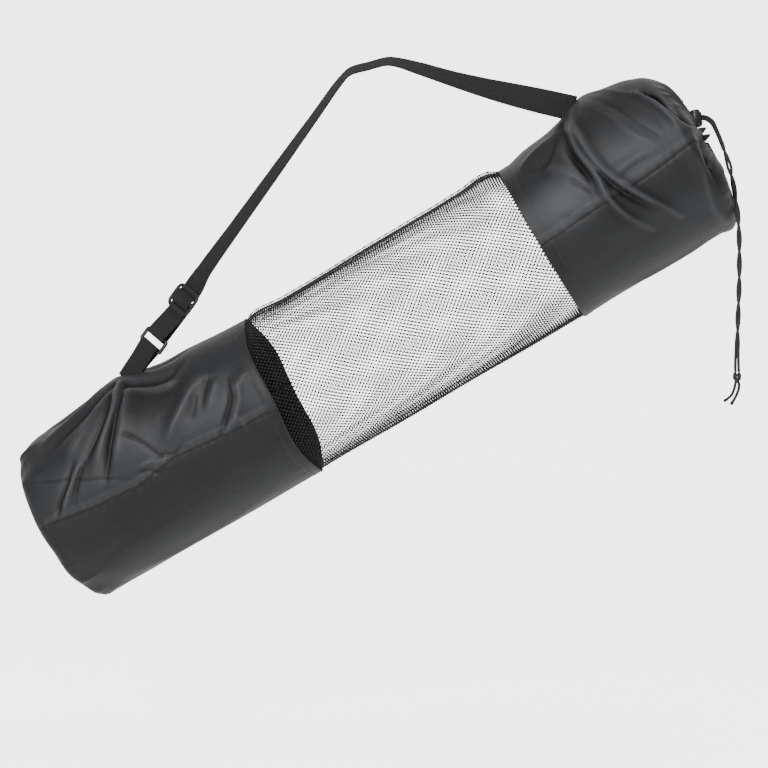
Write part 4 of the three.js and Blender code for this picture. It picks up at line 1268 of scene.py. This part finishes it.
anchor_column = 2 * math.pi / 48
anchor_ends = [seat_point(LOWER_SECTIONS, 0, LOWER_LENGTH, share, (k + 1) * anchor_column)
               for k, share in enumerate(ANCHOR_SHARES)]
grip_points = [np.array((across * GRIP_SPAN, 0, above * GRIP_SPAN)) for across, above in GRIP_BEND]
anchor_base = (anchor_ends[0] + anchor_ends[1]) / 2
leg_length = np.linalg.norm(grip_points[0] - anchor_base)
LEG = unit(grip_points[0] - anchor_base)
LEG_ACROSS = webbing_across(LEG, HARDWARE_TURN)
LEG_FACE = np.cross(LEG_ACROSS, LEG)


def leg_point(distance, lift=0.0):
    return anchor_base + distance * LEG + lift * LEG_FACE


BAR_WRAP = RING_BAR * 0.62 + CLEARANCE + WEBBING_THICK / 2
RING_BARS = (RING_PLACE - (RING_HEIGHT - RING_BAR) / 2, RING_PLACE + (RING_HEIGHT - RING_BAR) / 2)


def wrap_stations(centre, first, last, steps=8):
    """Webbing laid round a bar of the ring, from one angle to another in degrees."""
    turns = np.radians(np.linspace(first, last, steps + 1))
    return [(leg_point(centre + BAR_WRAP * math.cos(t), BAR_WRAP * math.sin(t)), LEG_ACROSS) for t in turns]


WEBBING_PROFILE = [(1.0, 0.0), (0.975, 0.72), (0.9, 1.0), (0.45, 0.96), (0.0, 0.93), (-0.45, 0.96),
                   (-0.9, 1.0), (-0.975, 0.72), (-1.0, 0.0), (-0.975, -0.72), (-0.9, -1.0), (-0.45, -0.96),
                   (0.0, -0.93),
                   (0.45, -0.96), (0.9, -1.0), (0.975, -0.72)]
STATION_STEPS = 6


def webbing_piece(name, stations):
    """Webbing with rolled edges through stations of a point and the way across."""
    centres = spline([point for point, _ in stations], STATION_STEPS)
    across = spline([way for _, way in stations], STATION_STEPS)
    run = np.gradient(centres, axis=0)
    run /= np.linalg.norm(run, axis=1)[:, None]
    across -= (across * run).sum(axis=1)[:, None] * run
    across /= np.linalg.norm(across, axis=1)[:, None]
    faces = np.cross(run, across)
    return sweep(name, centres, across * WEBBING_WIDTH / 2, faces * WEBBING_THICK / 2, WEBBING_PROFILE)


def make_anchor():
    """The doubled tab that is sewn to the lower panel and carries the ring."""
    across = unit(anchor_ends[0] - anchor_ends[1])
    if across @ LEG_ACROSS < 0:
        across = -across
    away = unit(np.cross(LEG, across))
    seat = [(leg_point(SEAT_GAP) - lift * away, across) for lift in (-LAYER / 2, LAYER / 2)]
    middle = [(leg_point(RING_BARS[0] * 0.55, lift), LEG_ACROSS) for lift in (-LAYER / 2, LAYER / 2)]
    wrap = wrap_stations(RING_BARS[0], -100, 100)
    tab = webbing_piece("anchor_webbing", [seat[0], middle[0], *wrap, middle[1], seat[1]])
    finish_piece(tab, "bag", WEBBING, "webbing", "strap_anchor")


def strap_stations():
    """The strap from its end behind the slider, round the ring, through the slider and up to the bag."""
    behind = SLIDER_THICK / 2 + CLEARANCE + WEBBING_THICK / 2
    slot_top = SLIDER_HEIGHT / 2 - SLIDER_BAR
    ease = 0.0005

    def by_slider(rows):
        return [(leg_point(SLIDER_PLACE + offset, lift), LEG_ACROSS) for offset, lift in rows]

    returning = by_slider([(SLIDER_CENTRE_BAR / 2, -behind), (-SLIDER_CENTRE_BAR / 2 - ease, -behind),
                           (-slot_top, -behind - LAYER), (-SLIDER_HEIGHT / 2 - 0.001, -behind - LAYER)])
    through = by_slider([(-SLIDER_HEIGHT / 2 - 0.001, -behind), (-slot_top + ease, -behind),
                         (-SLIDER_CENTRE_BAR / 2 - ease, behind), (SLIDER_CENTRE_BAR / 2 + ease, behind),
                         (slot_top - ease, -behind), (SLIDER_HEIGHT / 2 + 0.0015, -behind)])
    left = [(leg_point(leg_length * share), webbing_across(LEG, turn)) for share, turn in LEFT_TURNS]
    grip = []
    for i, point in enumerate(grip_points):
        ahead = grip_points[min(i + 1, len(grip_points) - 1)]
        run = LEG if i == 0 else unit(ahead - grip_points[i - 1])
        grip.append((point, webbing_across(run, GRIP_TURN)))
    ends = [seat_point(UPPER_SECTIONS, UPPER_START, UPPER_LENGTH, share, STRAP_END_TURN)
            for share in STRAP_SHARES]
    end_across = unit(ends[0] - ends[1])
    away = unit(np.cross(end_across, FRONT))
    seat = (ends[0] + ends[1]) / 2 + CLEARANCE * away * math.copysign(1, away[2])
    run = unit(seat - grip_points[-1])
    seat = seat + STRAP_SINK * run
    right = []
    for share, sag, turn in RIGHT_LEG:
        point = grip_points[-1] * (1 - share) + seat * share - np.array((0, 0, sag))
        right.append((point, webbing_across(run, turn)))
    if end_across @ right[0][1] < 0:
        end_across = -end_across
    wrap = wrap_stations(RING_BARS[1], -80, -280)
    return [*returning, *wrap, *through, *left, *grip, *right, (seat, end_across)]


def make_strap():
    strap = webbing_piece("strap_webbing", strap_stations())
    finish_piece(strap, "bag", WEBBING, "webbing", "shoulder_strap")


make_anchor()
make_strap()


# Moulded ring and slider

BAR_PROFILE = round_profile(12)
FLAT_PROFILE = [(1.0, 0.0), (0.97, 0.6), (0.8, 0.95), (0.4, 1.0), (0.0, 1.0), (-0.4, 1.0), (-0.8, 0.95),
                (-0.97, 0.6), (-1.0, 0.0), (-0.97, -0.6), (-0.8, -0.95), (-0.4, -1.0), (0.0, -1.0),
                (0.4, -1.0), (0.8, -0.95), (0.97, -0.6)]
CORNER_STEPS = 8
FRAME_CORNER = 0.0009
RING_CORNER = 0.004
RING_EXTRA_LENGTH = 0.0014
RING_EXTRA_SIDE = 0.0007
SLIDER_CORNER = 0.0062
SLIDER_SIDE_BAR = 0.0026
SLIDER_END_BAR = 0.0042
SLIDER_BAR_INSET = 0.003


def corner_points(half_long, half_high, corner):
    """A rounded rectangle, with the same number of points in each corner."""
    outline = []
    for quarter, (sx, sy) in enumerate(((1, 1), (-1, 1), (-1, -1), (1, -1))):
        turns = quarter * math.pi / 2 + np.linspace(0, math.pi / 2, CORNER_STEPS)
        middle = np.array((sx * (half_long - corner), sy * (half_high - corner)))
        outline += [middle + corner * np.array((math.cos(t), math.sin(t))) for t in turns]
    return np.array(outline)


def moulded_frame(name, centre, length, height, side_bar, end_bar, thick, corner, profile):
    """A rounded rectangular frame in the plane of the webbing, with bars of two widths."""
    outer = corner_points(length / 2, height / 2, corner)
    inner = corner_points(length / 2 - side_bar, height / 2 - end_bar, FRAME_CORNER)
    middle, half = (outer + inner) / 2, (outer - inner) / 2
    axes = np.array((LEG_ACROSS, LEG))
    tops = np.tile(LEG_FACE * thick / 2, (len(outer), 1))
    return sweep(name, centre + middle @ axes, half @ axes, tops, profile, closed=True)


def cross_bar(name, centre, length, width, thick):
    ends = np.linspace(-length / 2, length / 2, 12)
    centres = np.array([centre + x * LEG_ACROSS for x in ends])
    sides = np.tile(LEG * width / 2, (len(ends), 1))
    tops = np.tile(LEG_FACE * thick / 2, (len(ends), 1))
    return sweep(name, centres, sides, tops, BAR_PROFILE)


def make_fittings():
    ring = moulded_frame("moulded_ring", leg_point(RING_PLACE), RING_LENGTH + RING_EXTRA_LENGTH, RING_HEIGHT,
                         RING_BAR + RING_EXTRA_SIDE, RING_BAR, RING_BAR, RING_CORNER, BAR_PROFILE)
    finish_piece(ring, "bag", MOULDED, "moulded_plastic", "strap_ring")
    place = leg_point(SLIDER_PLACE)
    rim = moulded_frame("slider_rim", place, SLIDER_LENGTH, SLIDER_HEIGHT, SLIDER_SIDE_BAR, SLIDER_END_BAR,
                        SLIDER_THICK, SLIDER_CORNER, FLAT_PROFILE)
    bar = cross_bar("slider_bar", place, SLIDER_LENGTH - SLIDER_BAR_INSET, SLIDER_CENTRE_BAR, SLIDER_THICK)
    slider = join_pieces("moulded_slider", [rim, bar])
    finish_piece(slider, "bag", MOULDED, "moulded_plastic", "strap_slider")


make_fittings()


# Cord lock

LOCK_UP = np.array((-math.sin(LOCK_TILT), 0, math.cos(LOCK_TILT)))
LOCK_OUTWARD = np.array((math.cos(LOCK_TILT), 0, math.sin(LOCK_TILT)))
LOCK_SIDE = np.cross(LOCK_UP, LOCK_OUTWARD)
LOCK_SIDES = 48
AXIS_HOLE = 0.0006
BARREL_RIBS = 16
RIB_DEPTH = 0.03
CORD_SLOT = CORD_DIAMETER + 0.00072
CORD_STACK = CORD_DIAMETER + 0.00045


def turned_piece(name, outline, ribs=0, rib_depth=0.0):
    """A turned solid on the lock's axis from radii and heights, with shallow grip ribs if any."""
    rows = np.array(outline)
    turn = np.arange(LOCK_SIDES) * 2 * math.pi / LOCK_SIDES
    dent = 1 - rib_depth * (0.5 + 0.5 * np.cos(ribs * turn)) if ribs else np.ones(LOCK_SIDES)
    radius = rows[:, 0, None] * dent
    ring = (radius * np.cos(turn))[..., None] * LOCK_OUTWARD + (radius * np.sin(turn))[..., None] * LOCK_SIDE
    points = LOCK + ring + rows[:, 1, None, None] * LOCK_UP
    u = np.arange(LOCK_SIDES + 1) * 2 * math.pi * rows[:, 0].max() / LOCK_SIDES
    piece = grid_piece(name, points, u, np.abs(rows[:, 1] - rows[0, 1]))
    cap_ends(piece, len(rows), LOCK_SIDES)
    face_outwards(piece)
    return piece


def cut_slot(piece, bottom, top):
    """Cuts the crosswise slot that the two strands pass through."""
    bpy.ops.mesh.primitive_cube_add(size=1)
    cutter = bpy.context.object
    turn = Matrix((LOCK_OUTWARD, LOCK_SIDE, LOCK_UP)).transposed().to_4x4()
    middle = LOCK + (top + bottom) / 2 * LOCK_UP
    size = Matrix.Diagonal((4 * BARREL_RADIUS, CORD_SLOT, top - bottom, 1))
    cutter.data.transform(Matrix.Translation(Vector(middle)) @ turn @ size)
    cut = piece.modifiers.new("slot", "BOOLEAN")
    cut.operation = "DIFFERENCE"
    cut.solver = "EXACT"
    cut.object = cutter
    mesh = bpy.data.meshes.new_from_object(piece.evaluated_get(bpy.context.evaluated_depsgraph_get()))
    piece.modifiers.clear()
    piece.data = mesh
    bpy.data.objects.remove(cutter)
    return piece


def make_lock():
    r, top, bottom = BARREL_RADIUS, BARREL_TOP, -BARREL_BOTTOM
    bore = BUTTON_RADIUS + CLEARANCE
    floor = bottom + BARREL_FLOOR
    barrel = turned_piece("lock_barrel_body", [
        (AXIS_HOLE, bottom), (0.5 * r, bottom), (0.74 * r, 0.93 * bottom), (0.9 * r, 0.76 * bottom),
        (0.97 * r, 0.5 * bottom), (r, 0.2 * bottom), (r, 0.2 * top), (0.985 * r, 0.6 * top),
        (0.94 * r, 0.88 * top), (0.88 * r, top), (bore, top), (bore, 0.6 * bottom), (0.7 * bore, floor),
        (AXIS_HOLE, floor)],
        BARREL_RIBS, RIB_DEPTH)
    cut_slot(barrel, -CORD_STACK, CORD_STACK)
    finish_piece(barrel, "bag", MOULDED, "moulded_plastic", "lock_barrel")
    b = BUTTON_RADIUS
    low = floor + CLEARANCE + BUTTON_TRAVEL
    crown = top + BUTTON_PROUD
    button = turned_piece("lock_button_cap", [
        (AXIS_HOLE, low), (0.68 * b, low), (b, 0.7 * floor + BUTTON_TRAVEL + CLEARANCE),
        (b, top + 0.55 * BUTTON_PROUD), (0.96 * b, crown - 0.0006), (0.84 * b, crown - 0.0002),
        (0.5 * b, crown), (AXIS_HOLE, crown)])
    cut_slot(button, -CORD_STACK, CORD_STACK + BUTTON_TRAVEL)
    finish_piece(button, "lock_button", MOULDED, "moulded_plastic", "lock_button")


make_lock()


# Stitches

STITCH_LENGTH = 0.0024
STITCH_GAP = 0.0009
STITCH_RADIUS = 0.00022
STITCH_INSET = HEM_WIDTH - 0.0015
STITCH_LIFT = 0.00012


def make_stitch_tree():
    """Short thread stitches along a curve."""
    tree, start, end = new_geometry_tree("row of stitches", [
        ("Pitch", FLOAT, STITCH_LENGTH + STITCH_GAP), ("Stitch", FLOAT, STITCH_LENGTH),
        ("Thread radius", FLOAT, STITCH_RADIUS), ("Finish", "NodeSocketMaterial", None)])
    curve = add_node(tree, "GeometryNodeMeshToCurve", Mesh=start.outputs["Geometry"])
    places = tree.nodes.new("GeometryNodeCurveToPoints")
    places.mode = "LENGTH"
    feed(tree, places.inputs["Curve"], curve.outputs["Curve"])
    feed(tree, places.inputs["Length"], start.outputs["Pitch"])
    stitch = add_node(tree, "GeometryNodeMeshUVSphere", Segments=6, Rings=4, Radius=1.0)
    thread = start.outputs["Thread radius"]
    half = add_math(tree, "MULTIPLY", start.outputs["Stitch"], 0.5)
    size = add_node(tree, "ShaderNodeCombineXYZ", X=thread, Y=thread, Z=half)
    lay = add_node(tree, "GeometryNodeInstanceOnPoints", Points=places.outputs["Points"],
                   Instance=stitch.outputs["Mesh"], Rotation=places.outputs["Rotation"],
                   Scale=size.outputs[0])
    finish_tree(tree, lay.outputs["Instances"], start, end)
    return tree


def line_piece(name, paths):
    """Edges along one or more paths."""
    points, edges = [], []
    for path in paths:
        first = len(points)
        points += list(path)
        edges += [(first + k, first + k + 1) for k in range(len(path) - 1)]
    return edge_piece(name, points, edges)


def above_cloth(points, row, lift):
    """A row of a panel's points, closed and lifted off the cloth."""
    path = points[row]
    out = path - path.mean(axis=0)
    out /= np.linalg.norm(out, axis=1)[:, None]
    path = path + lift * out
    return np.vstack([path, path[:1]])


def make_stitches():
    tree = make_stitch_tree()
    lower_row = round((1 - STITCH_INSET / LOWER_LENGTH) * (LOWER_ROWS - 1))
    upper_row = round(STITCH_INSET / (UPPER_LENGTH * MOUTH_ALONG) * (UPPER_ROWS - 1))
    hems = [above_cloth(points, row, STITCH_LIFT)
            for points, row in ((lower_points, lower_row), (upper_points, upper_row))]
    seam = apply_tree(line_piece("hem_line", hems), tree, "hem_stitches", Finish=THREAD)
    finish_piece(seam, "bag", THREAD, "fabric")


make_stitches()


# Floor, backdrop and light

FLOOR_DROP = 0.15
PAPER_GLOW = 0.35
PAPER_SEEN = 3.2
WORLD_GLOW = 0.3
PAPER_COLOUR = (0.95, 0.95, 0.95, 1)
PAPER_ROUGHNESS = 0.95
STUDIO_SIDE = 6
STUDIO_BACK = 2.4
STUDIO_TOP = 5


def plane(name, corners, material):
    piece = new_piece(name, corners, [(0, 1, 2, 3)])
    piece.data.materials.append(material)


def glow_by_view(tree, shader, strength, glow):
    """A glow for the light it gives, and the paper's brightness where the camera sees it."""
    seen = tree.nodes.new("ShaderNodeLightPath").outputs["Is Camera Ray"]
    shown = add_math(tree, "MULTIPLY_ADD", seen, PAPER_SEEN - glow, glow)
    tree.links.new(shown, shader.inputs[strength])


LAMPS = (
    ("key", (-0.45, -1.8, 0.62), (0, 0, -0.25), 0.55, 40),
    ("top", (0.4, -0.3, 1.5), (0.1, 0, -0.2), 0.8, 12))


def make_studio():
    paper, tree, shader = new_material("studio paper", PAPER_ROUGHNESS)
    shader.inputs["Base Color"].default_value = PAPER_COLOUR
    shader.inputs["Emission Color"].default_value = (1, 1, 1, 1)
    glow_by_view(tree, shader, "Emission Strength", PAPER_GLOW)
    floor = cad_box[0].z - FLOOR_DROP
    side, back, top = STUDIO_SIDE, STUDIO_BACK, STUDIO_TOP
    far_edge = [(-side, back, floor), (side, back, floor)]
    plane("floor", [(-side, -side, floor), (side, -side, floor), *far_edge[::-1]], paper)
    plane("backdrop", [*far_edge, (side, back, top), (-side, back, top)], paper)
    world = bpy.data.worlds.new("studio")
    bpy.context.scene.world = world
    world.use_nodes = True
    background = world.node_tree.nodes["Background"]
    background.inputs["Color"].default_value = (1, 1, 1, 1)
    glow_by_view(world.node_tree, background, "Strength", WORLD_GLOW)
    for name, place, target, size, power in LAMPS:
        data = bpy.data.lights.new(name, "AREA")
        data.size = size
        data.energy = power
        aim(add_object(name, data), place, target)


make_studio()
